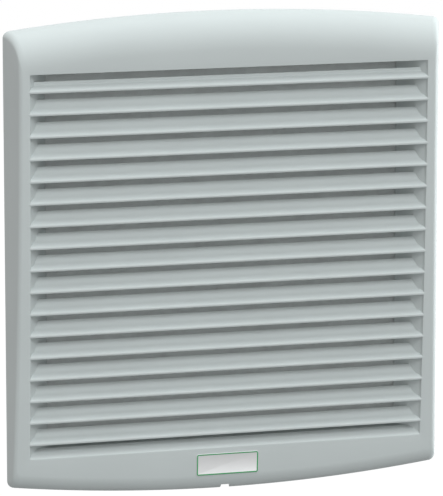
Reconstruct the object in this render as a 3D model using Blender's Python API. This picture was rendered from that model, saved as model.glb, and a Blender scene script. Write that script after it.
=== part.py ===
"""Cabinet filter fan: louvred cover, duct frame, filter and axial fan for a square door cut-out.

Sizes are in millimetres and are turned into metres where a mesh is made.
X runs to the right seen from the front, Y runs into the cabinet, Z runs up.
The origin is the centre of the cut-out, on the door's outer face.
"""

import bpy
import bmesh
from math import atan, cos, hypot, pi, radians, sin, sqrt

MM = 0.001

# Clearance between pieces that seat on each other
SEAT = 0.3

# Door cut-out and door sheet
CUTOUT = 223.0
SHEET = 2.0

# Foam gasket
GASKET_LAP = 1.7
GASKET_WIDTH = 4.8
GASKET_THICK = 1.5
GASKET_CORNER = 6.0
GASKET_INSIDE = CUTOUT / 2 + GASKET_LAP
GASKET_OUTSIDE = GASKET_INSIDE + GASKET_WIDTH

# Duct frame
FLANGE_WALL = 2.0
FLANGE_SIDE_LAP = 9.0
FLANGE_TOP_LAP = 12.5
FLANGE_BOTTOM_LAP = 16.5
FLANGE_ARCH = 5.0
FLANGE_CORNER = 4.0
FLANGE_HALF_WIDTH = CUTOUT / 2 + FLANGE_SIDE_LAP
FLANGE_TOP = CUTOUT / 2 + FLANGE_TOP_LAP
FLANGE_BOTTOM = -(CUTOUT / 2 + FLANGE_BOTTOM_LAP)
FLANGE_BACK = -(GASKET_THICK + SEAT)
FLANGE_FRONT = FLANGE_BACK - FLANGE_WALL
DUCT_SIDE_PLAY = 0.9
DUCT_WALL = 2.0
DUCT_CORNER = 4.0
DUCT_STRAIGHT = 26.0
DUCT_TAPER = 4.6
DUCT_OUTSIDE = CUTOUT / 2 - DUCT_SIDE_PLAY
DUCT_INSIDE = DUCT_OUTSIDE - DUCT_WALL
PLATE_FRONT = 28.0
PLATE_WALL = 2.0
PLATE_PAD = 1.2
PLATE_HALF = DUCT_OUTSIDE - DUCT_TAPER
PLATE_BACK = PLATE_FRONT + PLATE_WALL

# Stiffening ribs behind the fan plate, between its edge and the fan
RIB_WALL = 1.6
RIB_HEIGHT = 3.0
RIB_EDGE = 3.0
RIB_FAN_GAP = 2.5
RIB_SPACING = 38.0

# Cover outline and section
COVER_WALL = 2.0
COVER_SIDE_PLAY = 1.5
COVER_TOP_LAP = 10.0
COVER_BOTTOM_LAP = 6.0
COVER_ARCH = 8.0
COVER_CORNER = 4.0
COVER_BACK = 2.5
COVER_DEPTH = 15.74
COVER_HALF_WIDTH = FLANGE_HALF_WIDTH + COVER_WALL + COVER_SIDE_PLAY
COVER_TOP = FLANGE_TOP + COVER_TOP_LAP
COVER_BOTTOM = FLANGE_BOTTOM - COVER_BOTTOM_LAP
BOW_RADIUS = 3430.0
BOW_TOP = COVER_TOP - 5.0
TOP_ROUND = 16.0
BOTTOM_ROUND = 7.5
SIDE_ROUND = 3.3
SIDE_DRAFT = 0.315

# Louvre window and slats
WINDOW_BORDER = 11.45
WINDOW_CORNER = 0.6
HEADER_BORDER = 30.1
SILL_BORDER = 24.6
WINDOW_HALF_WIDTH = COVER_HALF_WIDTH - WINDOW_BORDER
HEADER_LIP = COVER_TOP - HEADER_BORDER
SILL_LIP = COVER_BOTTOM + SILL_BORDER
SILL_RISE = 4.6
HEADER_RISE = 5.0
FUNNEL_DEPTH = 5.7
FUNNEL_SLOPE = 1.09
FUNNEL_WALL = 1.5
FIRST_DROP = 9.96
LAST_DROP = 7.5
SLAT_COUNT = 17
SLAT_GAP = 4.04
SLAT_DEPTH = 5.7
SLAT_WALL = 1.6
FIRST_LIP = HEADER_LIP - FIRST_DROP
LAST_LIP = SILL_LIP + LAST_DROP
SLAT_PITCH = (FIRST_LIP - LAST_LIP) / (SLAT_COUNT - 1)
SLAT_HEIGHT = SLAT_PITCH - SLAT_GAP
SHORT_SLAT_HEIGHT = FIRST_DROP - SLAT_GAP

# Screwdriver notch in the cover's bottom edge
NOTCH_WIDTH = 5.6
NOTCH_HEIGHT = 2.4

# Cover hinge
PIN_RADIUS = 1.5
PIN_LENGTH = 8.0
PIN_CENTRE = 28.0
PIN_DEPTH = 6.3
PIN_DROP = 4.6
EAR_WALL = 2.5
EAR_REACH = 1.5
EAR_RISE = 2.3
SADDLE_WALL = 1.3
SADDLE_ROOT = 14.0
SADDLE_SLOPE = 5.0
SADDLE_BACK = 1.5
SADDLE_STEP = 3.0
HINGE_Y = -PIN_DEPTH
HINGE_Z = COVER_TOP - PIN_DROP

# Filter and its tray
MAT_FRONT = 1.0
MAT_THICK = 10.0
MAT_CORNER = 1.5
TRAY_WALL = 1.5
TRAY_FLOOR = 3.0
TRAY_RIM = 9.0
TRAY_SIDE_PLAY = 3.6
TRAY_HOLES = 7
TRAY_BAR = 2.4
TRAY_HALF_WIDTH = DUCT_INSIDE - TRAY_SIDE_PLAY
TRAY_HALF_HEIGHT = DUCT_INSIDE - SEAT
TRAY_FRONT = MAT_FRONT + MAT_THICK + SEAT
TRAY_BACK = TRAY_FRONT + TRAY_FLOOR
LEDGE_DEPTH = 3.0
LEDGE_REACH = 6.0
LEDGE_HALF_LENGTH = 80.0
GUIDE_LEAD = 0.5
GUIDE_WALL = 2.0
GUIDE_CLAW_GAP = 11.0
GUIDE_END_GAP = 4.5

# Snap pair that holds the cover's bottom edge: catches on the cover, tabs on the flange
SNAP_HALF_WIDTH = 7.0
SNAP_NOTCH_GAP = 0.6
CATCH_HEIGHT = 1.2
CATCH_DEPTH = 1.0
TAB_ROOT = 4.0
TAB_WALL = 0.9
TAB_CHAMFER = 0.4
CATCH_TOP = COVER_BOTTOM + COVER_WALL + CATCH_HEIGHT

# Retaining claws
CLAW_Z = 60.0
CLAW_WIDTH = 14.0
CLAW_WALL = 1.5
CLAW_ROOT_Y = 23.6
CLAW_BARREL = 1.0
CLAW_EAR = 1.7
CLAW_CATCH = 2.8
CLAW_LAND = 1.5
CLAW_SHEET_GAP = 0.5
CLAW_RAMP_END = 17.0
CLAW_WINDOW_LEAD = 0.6

# Axial fan
FAN_SURROUND = 51.0
FAN_FLATS = 22.0
FAN_DEPTH = 51.0
FAN_FLANGE = 4.0
FAN_STEP = 1.0
FAN_DIAMETER = CUTOUT - FAN_SURROUND
FAN_HEIGHT = FAN_DIAMETER - FAN_FLATS
FAN_FRONT = PLATE_BACK + SEAT
FAN_BACK = FAN_FRONT + FAN_DEPTH
BORE_MARGIN = 15.5
BELL_FLARE = 2.7
BARREL_WALL = 2.6
BORE_RADIUS = FAN_DIAMETER / 2 - BORE_MARGIN
BELL_RADIUS = BORE_RADIUS + BELL_FLARE
SCREW_MARGIN = 5.0
SCREW_ANGLE = 20.0
SCREW_CIRCLE_RADIUS = FAN_DIAMETER / 2 - SCREW_MARGIN
STRUT_COUNT = 4
STRUT_WIDTH = 7.0
STRUT_DEPTH = 5.0
STRUT_INSET = 0.6
SEAT_MARGIN = 4.0
SEAT_LIFT = 1.0
SEAT_INSET = 0.3
TUBE_OUTER = 9.6
TUBE_INNER = 7.8
TUBE_LENGTH = 24.0

# Motor and impeller
HUB_RADIUS = 37.0
HUB_WALL = 2.2
HUB_EDGE = 3.0
HUB_FRONT_GAP = 4.0
HUB_REAR_GAP = 10.0
BOSS_WALL = 2.5
BOSS_GAP = 1.0
MAGNET_WALL = 2.6
MAGNET_LAP = 2.0
AIR_GAP = 1.3
STATOR_CORE = 4.0
STATOR_SHOE = 2.5
STATOR_POLES = 6
STATOR_FRONT_GAP = 2.0
STATOR_REAR_GAP = 3.0
WINDING_OVERHANG = 5.0
WINDING_CROWN = 1.4
WINDING_INSET = 4.0
SHAFT_RADIUS = 2.5
SHAFT_TAIL = 1.0
SHAFT_CHAMFER = 0.5
BEARING_WIDTH = 6.0
BEARING_EDGE = 0.4
BLADE_COUNT = 5
BLADE_CLEARANCE = 1.5
BLADE_WALL = 2.0
BLADE_ROOT_ANGLE = 48.0
BLADE_TIP_ANGLE = 27.0
BLADE_ROOT_CHORD = 40.0
BLADE_TIP_CHORD = 58.0
BLADE_SWEEP_ANGLE = 16.0
SEAT_RADIUS = HUB_RADIUS - SEAT_MARGIN
HUB_FRONT = FAN_FRONT + HUB_FRONT_GAP
HUB_REAR = FAN_BACK - HUB_REAR_GAP
MAGNET_OUTER = HUB_RADIUS - HUB_WALL - SEAT
MAGNET_INNER = MAGNET_OUTER - MAGNET_WALL
STATOR_RADIUS = MAGNET_INNER - AIR_GAP
TUBE_BACK = FAN_BACK - STRUT_DEPTH - SEAT_LIFT
TUBE_FRONT = TUBE_BACK - TUBE_LENGTH
STATOR_FRONT = TUBE_FRONT + WINDING_OVERHANG + STATOR_FRONT_GAP
STATOR_BACK = TUBE_BACK - WINDING_OVERHANG - STATOR_REAR_GAP

# Finger guard
GUARD_WIRE = 0.9
GUARD_RINGS = 5
GUARD_INNER_RING = 14.0
GUARD_MARGIN = 4.5
GUARD_FRONT = FAN_BACK + SEAT
GUARD_OUTER_RING = BORE_RADIUS - GUARD_MARGIN
EYELET_OUTER = 4.4

# Fan screws and nuts
SCREW_RADIUS = 2.0
SCREW_CHAMFER = 0.5
SCREW_HEAD_RADIUS = 3.6
SCREW_HEAD_HEIGHT = 2.4
SCREW_SLOT = 0.45
NUT_FLATS = 7.0
NUT_HEIGHT = 3.2
SCREW_TAIL = 1.0

# Terminal block
TERMINAL_SIDE_MARGIN = 22.0
TERMINAL_TOP_MARGIN = 18.0
TERMINAL_WIDTH = 22.0
TERMINAL_HEIGHT = 16.0
TERMINAL_DEPTH = 17.0
TERMINAL_WELL = 6.0
TERMINAL_ENTRY_HALF = 2.6
TERMINAL_ENTRY_FRONT = 2.5
TERMINAL_ENTRY_DEPTH = 6.0
TERMINAL_ENTRY_RISE = 10.0
TERMINAL_SCREW = 2.4
TERMINAL_SCREW_LENGTH = 4.0
TERMINAL_SLOT = 0.4
TERMINAL_X = PLATE_HALF - TERMINAL_SIDE_MARGIN
TERMINAL_Z = PLATE_HALF - TERMINAL_TOP_MARGIN

# Facets
ROUND_STEPS = 32
FAN_STEPS = 40
HOLE_STEPS = 12
ARCH_STEPS = 8
SIDE_STEPS = 6
CORNER_STEPS = 4
SKIN_STEPS = 7
INNER_SKIN_STEPS = 3
PIN_STEPS = 12
HUB_STEPS = 36
SMALL_STEPS = 16
WIRE_STEPS = 24
WIRE_SIDES = 5
BLADE_STEPS = 6
BLADE_SPANS = 6

# How far a cutting or filling helper runs past the faces it meets
PAST = 1.0


def material(name, colour, roughness, metallic=0.0):
    finish = bpy.data.materials.new(name)
    finish.use_nodes = True
    shader = finish.node_tree.nodes["Principled BSDF"]
    shader.inputs["Base Color"].default_value = (*colour, 1.0)
    shader.inputs["Roughness"].default_value = roughness
    shader.inputs["Metallic"].default_value = metallic
    return finish


def solid(name, shape, finish=None, origin=(0.0, 0.0, 0.0)):
    """Make an object from (points, faces) in millimetres, with its own origin."""
    points, faces = shape
    mesh = bpy.data.meshes.new(name)
    local = [[(p[i] - origin[i]) * MM for i in range(3)] for p in points]
    mesh.from_pydata(local, [], faces)
    work = bmesh.new()
    work.from_mesh(mesh)
    bmesh.ops.recalc_face_normals(work, faces=work.faces)
    work.to_mesh(mesh)
    work.free()
    piece = bpy.data.objects.new(name, mesh)
    piece.location = [value * MM for value in origin]
    bpy.context.scene.collection.objects.link(piece)
    if finish:
        mesh.materials.append(finish)
    return piece


def soften(piece, angle=35.0):
    """Shade round faces smooth and keep the corners sharp."""
    piece.data.shade_smooth()
    piece.data.set_sharp_from_angle(angle=radians(angle))


def apply_boolean(piece, shapes, operation):
    """Add shapes to a piece or take them away, then drop the helper solids."""
    for index, shape in enumerate(shapes):
        tool = solid(f"{piece.name}_tool_{index}", shape)
        step = piece.modifiers.new("step", "BOOLEAN")
        step.operation = operation
        step.solver = "EXACT"
        step.object = tool
        bpy.context.view_layer.update()
        view = bpy.context.evaluated_depsgraph_get()
        result = bpy.data.meshes.new_from_object(piece.evaluated_get(view))
        piece.modifiers.remove(step)
        old = piece.data
        name = old.name
        piece.data = result
        bpy.data.meshes.remove(old)
        result.name = name
        bpy.data.objects.remove(tool)


def fuse(piece, *shapes):
    apply_boolean(piece, shapes, "UNION")


def cut(piece, *shapes):
    apply_boolean(piece, shapes, "DIFFERENCE")


def together(*shapes):
    """Put shapes that don't meet into one, for a single boolean."""
    points = []
    faces = []
    for new_points, new_faces in shapes:
        start = len(points)
        points += list(new_points)
        faces += [[start + corner for corner in face] for face in new_faces]
    return points, faces


def loft(loops, ring=False):
    """Bridge loops with equal counts; ring joins the last loop to the first, otherwise the ends are capped."""
    count = len(loops[0])
    points = [point for loop in loops for point in loop]
    faces = []
    last = len(loops) if ring else len(loops) - 1
    for level in range(last):
        here = level * count
        there = ((level + 1) % len(loops)) * count
        for index in range(count):
            after = (index + 1) % count
            faces.append([here + index, here + after, there + after])
            faces.append([here + index, there + after, there + index])
    if not ring:
        faces.append(list(range(count)))
        faces.append([(len(loops) - 1) * count + index for index in reversed(range(count))])
    return points, faces


def along_y(outline, y):
    return [(x, y, z) for x, z in outline]


def prism_x(profile, low, high):
    """Extrude a (y, z) profile along X."""
    return loft([[(low, y, z) for y, z in profile], [(high, y, z) for y, z in profile]])


def prism_y(profile, low, high):
    """Extrude an (x, z) profile along Y."""
    return loft([along_y(profile, low), along_y(profile, high)])


def prism_z(profile, low, high):
    """Extrude an (x, y) profile along Z."""
    return loft([[(x, y, low) for x, y in profile], [(x, y, high) for x, y in profile]])


def box(x0, x1, y0, y1, z0, z1):
    return prism_y([(x0, z0), (x1, z0), (x1, z1), (x0, z1)], y0, y1)


def circle(radius, centre=(0.0, 0.0), steps=ROUND_STEPS, turn=0.0):
    angles = [turn + 2 * pi * step / steps for step in range(steps)]
    return [(centre[0] + radius * cos(a), centre[1] + radius * sin(a)) for a in angles]


def turned(profile, centre=(0.0, 0.0), ring=True, steps=ROUND_STEPS):
    """Turn an (r, y) profile about a line along Y through centre."""
    loops = [along_y(circle(radius, centre, steps), y) for radius, y in profile]
    return loft(loops, ring=ring)


def washer(inner, outer, y0, y1, centre=(0.0, 0.0), steps=ROUND_STEPS):
    return turned([(inner, y0), (outer, y0), (outer, y1), (inner, y1)], centre, steps=steps)


def rounded_rectangle(half_width, top, bottom, corner, arch=0.0, sides=SIDE_STEPS, edges=ARCH_STEPS):
    """Outline in X and Z whose top and bottom edges bulge by arch at the middle."""
    outline = []
    slope = 2 * arch / half_width
    lean = atan(slope * (half_width - corner) / half_width)
    reach = half_width - corner + corner * sin(lean)
    drop = arch * (reach / half_width) ** 2 + corner * cos(lean)
    centre_x = half_width - corner
    upper = top - drop
    lower = bottom + drop
    for step in range(sides):
        outline.append((half_width, lower + (upper - lower) * step / sides))
    for step in range(CORNER_STEPS):
        angle = (pi / 2 - lean) * step / CORNER_STEPS
        outline.append((centre_x + corner * cos(angle), upper + corner * sin(angle)))
    for step in range(edges):
        x = reach - 2 * reach * step / edges
        outline.append((x, top - arch * (x / half_width) ** 2))
    for step in range(CORNER_STEPS):
        angle = (pi / 2 - lean) * (1 - step / CORNER_STEPS)
        outline.append((-centre_x - corner * cos(angle), upper + corner * sin(angle)))
    for step in range(sides):
        outline.append((-half_width, upper + (lower - upper) * step / sides))
    for step in range(CORNER_STEPS):
        angle = (pi / 2 - lean) * step / CORNER_STEPS
        outline.append((-centre_x - corner * cos(angle), lower - corner * sin(angle)))
    for step in range(edges):
        x = -reach + 2 * reach * step / edges
        outline.append((x, bottom + arch * (x / half_width) ** 2))
    for step in range(CORNER_STEPS):
        angle = (pi / 2 - lean) * (1 - step / CORNER_STEPS)
        outline.append((centre_x + corner * cos(angle), lower - corner * sin(angle)))
    return outline


def cover_depth(z):
    """Depth of the bowed front, from the cover's back edge."""
    return COVER_DEPTH - (z - BOW_TOP) ** 2 / (2 * BOW_RADIUS)


def front_y(z, depth=0.0):
    """Y of a point that lies depth behind the bowed front at height z."""
    return -(COVER_BACK + cover_depth(z)) + depth


def skin_loop(turn, inside):
    """One level of the cover's skin: turn runs from 0 at the back edge to a right angle at the front."""
    wall = COVER_WALL if inside else 0.0
    half_width = COVER_HALF_WIDTH - wall
    top_inset = (TOP_ROUND - wall) * (1 - cos(turn))
    bottom_inset = (BOTTOM_ROUND - wall) * (1 - cos(turn))
    edge_round = SIDE_ROUND - wall
    top = COVER_TOP - wall
    bottom = COVER_BOTTOM + wall
    base = rounded_rectangle(half_width, top, bottom, COVER_CORNER - wall / 2, COVER_ARCH)
    middle = (top + bottom) / 2
    loop = []
    for x, z in base:
        inset = top_inset if z > middle else bottom_inset
        half = (top - bottom) / 2
        z = middle + (z - middle) * (half - inset) / half
        full = cover_depth(z) - wall
        depth = full * sin(turn)
        past = max(0.0, depth - (full - edge_round)) / edge_round
        side_inset = SIDE_DRAFT * depth + edge_round * (1 - sqrt(max(0.0, 1 - past * past)))
        loop.append((x * (half_width - side_inset) / half_width, -(COVER_BACK + depth), z))
    return loop


def window_loop(depth, widen=0.0):
    """The louvre window's edge at a depth behind the front; widen moves it outward."""
    share = depth / FUNNEL_DEPTH
    half_width = WINDOW_HALF_WIDTH - FUNNEL_SLOPE * depth + widen
    top = HEADER_LIP + HEADER_RISE * share + widen
    bottom = SILL_LIP + SILL_RISE * share - widen
    outline = rounded_rectangle(half_width, top, bottom, WINDOW_CORNER)
    return [(x, front_y(z, depth), z) for x, z in outline]


def slat_profile(height):
    """Slat section as (depth, rise) from its lip: an S-shaped face and a parallel back."""
    depth = SLAT_DEPTH * height / SLAT_HEIGHT
    face = [(0.0, 0.0), (0.1 * SLAT_DEPTH, 0.23 * SLAT_HEIGHT), (0.31 * SLAT_DEPTH, 0.4 * SLAT_HEIGHT),
            (depth * 0.86, height * 0.85), (depth, height)]
    slope = atan(SLAT_HEIGHT / SLAT_DEPTH)
    behind = SLAT_WALL * sin(slope)
    below = SLAT_WALL * cos(slope)
    back = [(x + behind, z - below) for x, z in (face[4], face[2], face[1])]
    return face + back + [(behind * 0.75, 0.0)]


def slat(lip, height):
    """One louvre slat across the window, its ends sunk into the window's sloping side walls."""
    sections = []
    for side in (-1, 1):
        section = []
        for depth, rise in slat_profile(height):
            within = min(depth, FUNNEL_DEPTH)
            reach = WINDOW_HALF_WIDTH - FUNNEL_SLOPE * within + FUNNEL_WALL * 0.5
            section.append((side * reach, front_y(lip, depth), lip + rise))
        sections.append(section)
    return loft(sections)


def hinge_ear(x0, x1):
    """Plate under the cover's top wall that holds one end of a hinge pin."""
    reach = PIN_RADIUS + EAR_REACH
    top = HINGE_Z + EAR_RISE
    arc = [pi + pi * step / 8 for step in range(9)]
    profile = [(HINGE_Y + reach * cos(a), HINGE_Z + reach * sin(a)) for a in arc]
    profile += [(HINGE_Y + reach * 0.85, top), (HINGE_Y - reach * 0.55, top)]
    return prism_x(profile, x0, x1)


def hinge_pin(x0, x1):
    profile = [(HINGE_Y + p, HINGE_Z + q) for p, q in circle(PIN_RADIUS, steps=PIN_STEPS)]
    return prism_x(profile, x0, x1)


def snap_edges(side):
    """X of a catch's two ends, beside the screwdriver notch."""
    return sorted((side * (NOTCH_WIDTH / 2 + SNAP_NOTCH_GAP), side * SNAP_HALF_WIDTH))


def snap_tab(side):
    """Tab on the flange's bottom edge, in front of a catch and clear of it so that the rigid cover can open."""
    low = CATCH_TOP + SEAT
    back = FLANGE_FRONT - SEAT
    front = back - TAB_WALL
    root = FLANGE_FRONT + FLANGE_WALL / 4
    profile = [(front, FLANGE_BOTTOM + TAB_ROOT), (root, FLANGE_BOTTOM + TAB_ROOT), (root, FLANGE_BOTTOM + TAB_WALL),
               (back, FLANGE_BOTTOM), (back, low), (front + TAB_CHAMFER, low), (front, low + TAB_CHAMFER)]
    near, far = snap_edges(side)
    return prism_x(profile, near, far)


def make_cover(finish):
    """Moulded louvred cover with its hinge ears and pins, catches and notch."""
    turns = [pi / 2 * step / SKIN_STEPS for step in range(SKIN_STEPS + 1)]
    inner_turns = [pi / 2 * (1 - step / INNER_SKIN_STEPS) for step in range(INNER_SKIN_STEPS + 1)]
    loops = [skin_loop(turn, False) for turn in turns]
    loops.append(window_loop(0.0))
    loops.append(window_loop(FUNNEL_DEPTH))
    loops.append(window_loop(FUNNEL_DEPTH + FUNNEL_WALL * 0.4, FUNNEL_WALL * 0.9))
    loops.append(window_loop(COVER_WALL, FUNNEL_WALL * 1.3))
    loops += [skin_loop(turn, True) for turn in inner_turns]
    cover = solid("front_cover", loft(loops, ring=True), finish, origin=(0.0, HINGE_Y, HINGE_Z))
    slats = [slat(FIRST_LIP, SHORT_SLAT_HEIGHT)]
    slats += [slat(FIRST_LIP - SLAT_PITCH * step, SLAT_HEIGHT) for step in range(1, SLAT_COUNT)]
    fuse(cover, together(*slats))
    for side in (-1, 1):
        middle = side * PIN_CENTRE
        inner = middle - PIN_LENGTH / 2
        outer = middle + PIN_LENGTH / 2
        ears = together(hinge_ear(inner - EAR_WALL, inner), hinge_ear(outer, outer + EAR_WALL))
        fuse(cover, ears)
        fuse(cover, hinge_pin(inner - EAR_WALL / 2, outer + EAR_WALL / 2))
    catches = []
    for side in (-1, 1):
        near, far = snap_edges(side)
        catches.append(box(near, far, FLANGE_FRONT, FLANGE_FRONT + CATCH_DEPTH, COVER_BOTTOM + COVER_WALL * 0.8,
                           CATCH_TOP))
    fuse(cover, together(*catches))
    cut(cover, box(-NOTCH_WIDTH / 2, NOTCH_WIDTH / 2, front_y(COVER_BOTTOM) - PAST, 0.0,
                   COVER_BOTTOM - PAST, COVER_BOTTOM + NOTCH_HEIGHT))
    soften(cover, 28.0)
    return cover


def saddle(x0, x1):
    """Bracket on the flange with an open seat under a hinge pin."""
    seat = PIN_RADIUS + SEAT
    rim = seat + SADDLE_WALL
    start = radians(200.0)
    rest = [start + radians(120.0) * step / 10 for step in range(11)]
    profile = [(HINGE_Y + seat * cos(a), HINGE_Z + seat * sin(a)) for a in rest]
    root = FLANGE_FRONT + FLANGE_WALL / 2
    back = HINGE_Y + SADDLE_BACK
    profile += [(back, HINGE_Z - rim), (back, FLANGE_TOP - SADDLE_BACK), (root, FLANGE_TOP - SADDLE_STEP),
                (root, FLANGE_TOP - SADDLE_ROOT), (HINGE_Y - rim, FLANGE_TOP - SADDLE_SLOPE),
                (HINGE_Y + rim * cos(start), HINGE_Z + rim * sin(start))]
    return prism_x(profile, x0, x1)


def claw_axis(side):
    return side * (DUCT_INSIDE + DUCT_WALL / 2)


def claw_window(side, z):
    """Opening in the duct's side wall for a claw, with the notch for its barrel."""
    low, high = sorted((side * (DUCT_INSIDE - PAST), side * (DUCT_OUTSIDE + PAST)))
    half = CLAW_WIDTH / 2 + SEAT
    front = SHEET - CLAW_WINDOW_LEAD
    back = CLAW_ROOT_Y + CLAW_BARREL + SEAT
    slot = box(low, high, front, back, z - half, z + half)
    notch_front = CLAW_ROOT_Y - CLAW_BARREL - SEAT
    notch_half = half + CLAW_EAR + SEAT
    notch = box(low, high, notch_front, back, z - notch_half, z + notch_half)
    return slot, notch


def screw_places():
    places = []
    for side in (-1, 1):
        for level in (-1, 1):
            angle = radians(SCREW_ANGLE)
            places.append((side * SCREW_CIRCLE_RADIUS * cos(angle), level * SCREW_CIRCLE_RADIUS * sin(angle)))
    return places


def plate_ribs():
    """Ribs that run from near the plate's edge to near the fan's flats and its round sides."""
    root = PLATE_BACK - PLATE_WALL / 2
    back = PLATE_BACK + RIB_HEIGHT
    edge = PLATE_HALF - RIB_EDGE
    half = RIB_WALL / 2
    ribs = []
    for side in (-1, 1):
        for offset in (-RIB_SPACING, 0.0, RIB_SPACING):
            far, near = sorted((side * edge, side * (FAN_HEIGHT / 2 + RIB_FAN_GAP)))
            ribs.append(box(offset - half, offset + half, root, back, far, near))
            reach = sqrt((FAN_DIAMETER / 2) ** 2 - offset ** 2) + RIB_FAN_GAP
            far, near = sorted((side * edge, side * reach))
            ribs.append(box(far, near, root, back, offset - half, offset + half))
    return ribs


def tray_guides():
    """Ribs on the duct's side walls that keep the filter support centred, left out at the claws."""
    front = MAT_FRONT + GUIDE_LEAD
    near_claw = CLAW_Z - GUIDE_CLAW_GAP
    past_claw = CLAW_Z + GUIDE_CLAW_GAP
    end = DUCT_INSIDE - GUIDE_END_GAP
    guides = []
    for side in (-1, 1):
        x0, x1 = sorted((side * (TRAY_HALF_WIDTH + SEAT), side * (DUCT_INSIDE + DUCT_WALL / 2)))
        for z0, z1 in ((-end, -past_claw), (-near_claw, near_claw), (past_claw, end)):
            guides.append(box(x0, x1, front, front + GUIDE_WALL, z0, z1))
    return guides


def make_base(finish):
    """Duct frame: flange, square duct, tapered end and fan plate with its round inlet."""
    flange = rounded_rectangle(FLANGE_HALF_WIDTH, FLANGE_TOP, FLANGE_BOTTOM, FLANGE_CORNER, FLANGE_ARCH)
    outside = rounded_rectangle(DUCT_OUTSIDE, DUCT_OUTSIDE, -DUCT_OUTSIDE, DUCT_CORNER)
    inside = rounded_rectangle(DUCT_INSIDE, DUCT_INSIDE, -DUCT_INSIDE, DUCT_CORNER - DUCT_WALL / 2)
    plate = rounded_rectangle(PLATE_HALF, PLATE_HALF, -PLATE_HALF, DUCT_CORNER)
    plate_inside = rounded_rectangle(PLATE_HALF - DUCT_WALL, PLATE_HALF - DUCT_WALL,
                                     -(PLATE_HALF - DUCT_WALL), DUCT_CORNER - DUCT_WALL / 2)
    inlet = matching_circle(BELL_RADIUS)
    loops = [along_y(flange, FLANGE_FRONT), along_y(flange, FLANGE_BACK), along_y(outside, FLANGE_BACK),
             along_y(outside, DUCT_STRAIGHT), along_y(plate, PLATE_BACK), along_y(inlet, PLATE_BACK),
             along_y(inlet, PLATE_FRONT), along_y(plate_inside, PLATE_FRONT),
             along_y(inside, DUCT_STRAIGHT), along_y(inside, FLANGE_FRONT)]
    base = solid("base_frame", loft(loops, ring=True), finish)
    for side in (-1, 1):
        middle = side * PIN_CENTRE
        half = PIN_LENGTH / 2 - SEAT
        fuse(base, saddle(middle - half, middle + half))
    ledge_front = TRAY_BACK + SEAT
    ledges = []
    for side in (-1, 1):
        edges = sorted((side * (DUCT_INSIDE - LEDGE_REACH), side * (DUCT_INSIDE + DUCT_WALL / 2)))
        ledges.append(box(-LEDGE_HALF_LENGTH, LEDGE_HALF_LENGTH, ledge_front, ledge_front + LEDGE_DEPTH, *edges))
    fuse(base, together(*ledges, *tray_guides()))
    slots = []
    notches = []
    for side in (-1, 1):
        for z in (-CLAW_Z, CLAW_Z):
            slot, notch = claw_window(side, z)
            slots.append(slot)
            notches.append(notch)
    cut(base, together(*slots), together(*notches))
    fuse(base, together(snap_tab(-1), snap_tab(1)))
    pads = [washer(SCREW_RADIUS + SEAT, NUT_FLATS, PLATE_FRONT - PLATE_PAD, PLATE_FRONT + PLATE_WALL / 2, place,
                   HOLE_STEPS)
            for place in screw_places()]
    fuse(base, together(*pads, *plate_ribs()))
    holes = [prism_y(circle(SCREW_RADIUS + SEAT, place, HOLE_STEPS), PLATE_FRONT - PLATE_PAD - PAST, PLATE_BACK + PAST)
             for place in screw_places()]
    cut(base, together(*holes))
    soften(base)
    return base


def matching_circle(radius):
    """Circle whose points stand in the directions of a square outline's points."""
    square = rounded_rectangle(radius, radius, -radius, DUCT_CORNER)
    return [(radius * x / hypot(x, z), radius * z / hypot(x, z)) for x, z in square]


def make_gasket(finish):
    outside = rounded_rectangle(GASKET_OUTSIDE, GASKET_OUTSIDE, -GASKET_OUTSIDE, GASKET_CORNER, 0.0, 1, 1)
    inside = rounded_rectangle(GASKET_INSIDE, GASKET_INSIDE, -GASKET_INSIDE, GASKET_CORNER / 2, 0.0, 1, 1)
    loops = [along_y(inside, -GASKET_THICK), along_y(outside, -GASKET_THICK), along_y(outside, 0.0),
             along_y(inside, 0.0)]
    return solid("door_gasket", loft(loops, ring=True), finish)


def lattice(edges_x, edges_z, y0, y1):
    """Plate with square holes: strips alternate bar, hole, bar along both directions."""
    points = [(x, y, z) for y in (y0, y1) for x in edges_x for z in edges_z]
    wide = len(edges_x)
    tall = len(edges_z)
    faces = []

    def is_bar(i, j):
        inside = 0 <= i < wide - 1 and 0 <= j < tall - 1
        return inside and not (i % 2 == 1 and j % 2 == 1)

    def corner(layer, i, j):
        return layer * wide * tall + i * tall + j

    for i in range(wide - 1):
        for j in range(tall - 1):
            if not is_bar(i, j):
                continue
            ring = [(i, j), (i + 1, j), (i + 1, j + 1), (i, j + 1)]
            faces.append([corner(0, *place) for place in ring])
            faces.append([corner(1, *place) for place in reversed(ring)])
            beside = [(i, j - 1), (i + 1, j), (i, j + 1), (i - 1, j)]
            for edge in range(4):
                if not is_bar(*beside[edge]):
                    a = ring[edge]
                    b = ring[(edge + 1) % 4]
                    faces.append([corner(0, *b), corner(0, *a), corner(1, *a), corner(1, *b)])
    return points, faces


def lattice_edges(half, holes, bar):
    """Edges of alternating bars and holes across a width of twice half."""
    pitch = (2 * half - bar) / holes
    edges = []
    for index in range(holes + 1):
        edges += [-half + pitch * index, -half + pitch * index + bar]
    return edges


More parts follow.
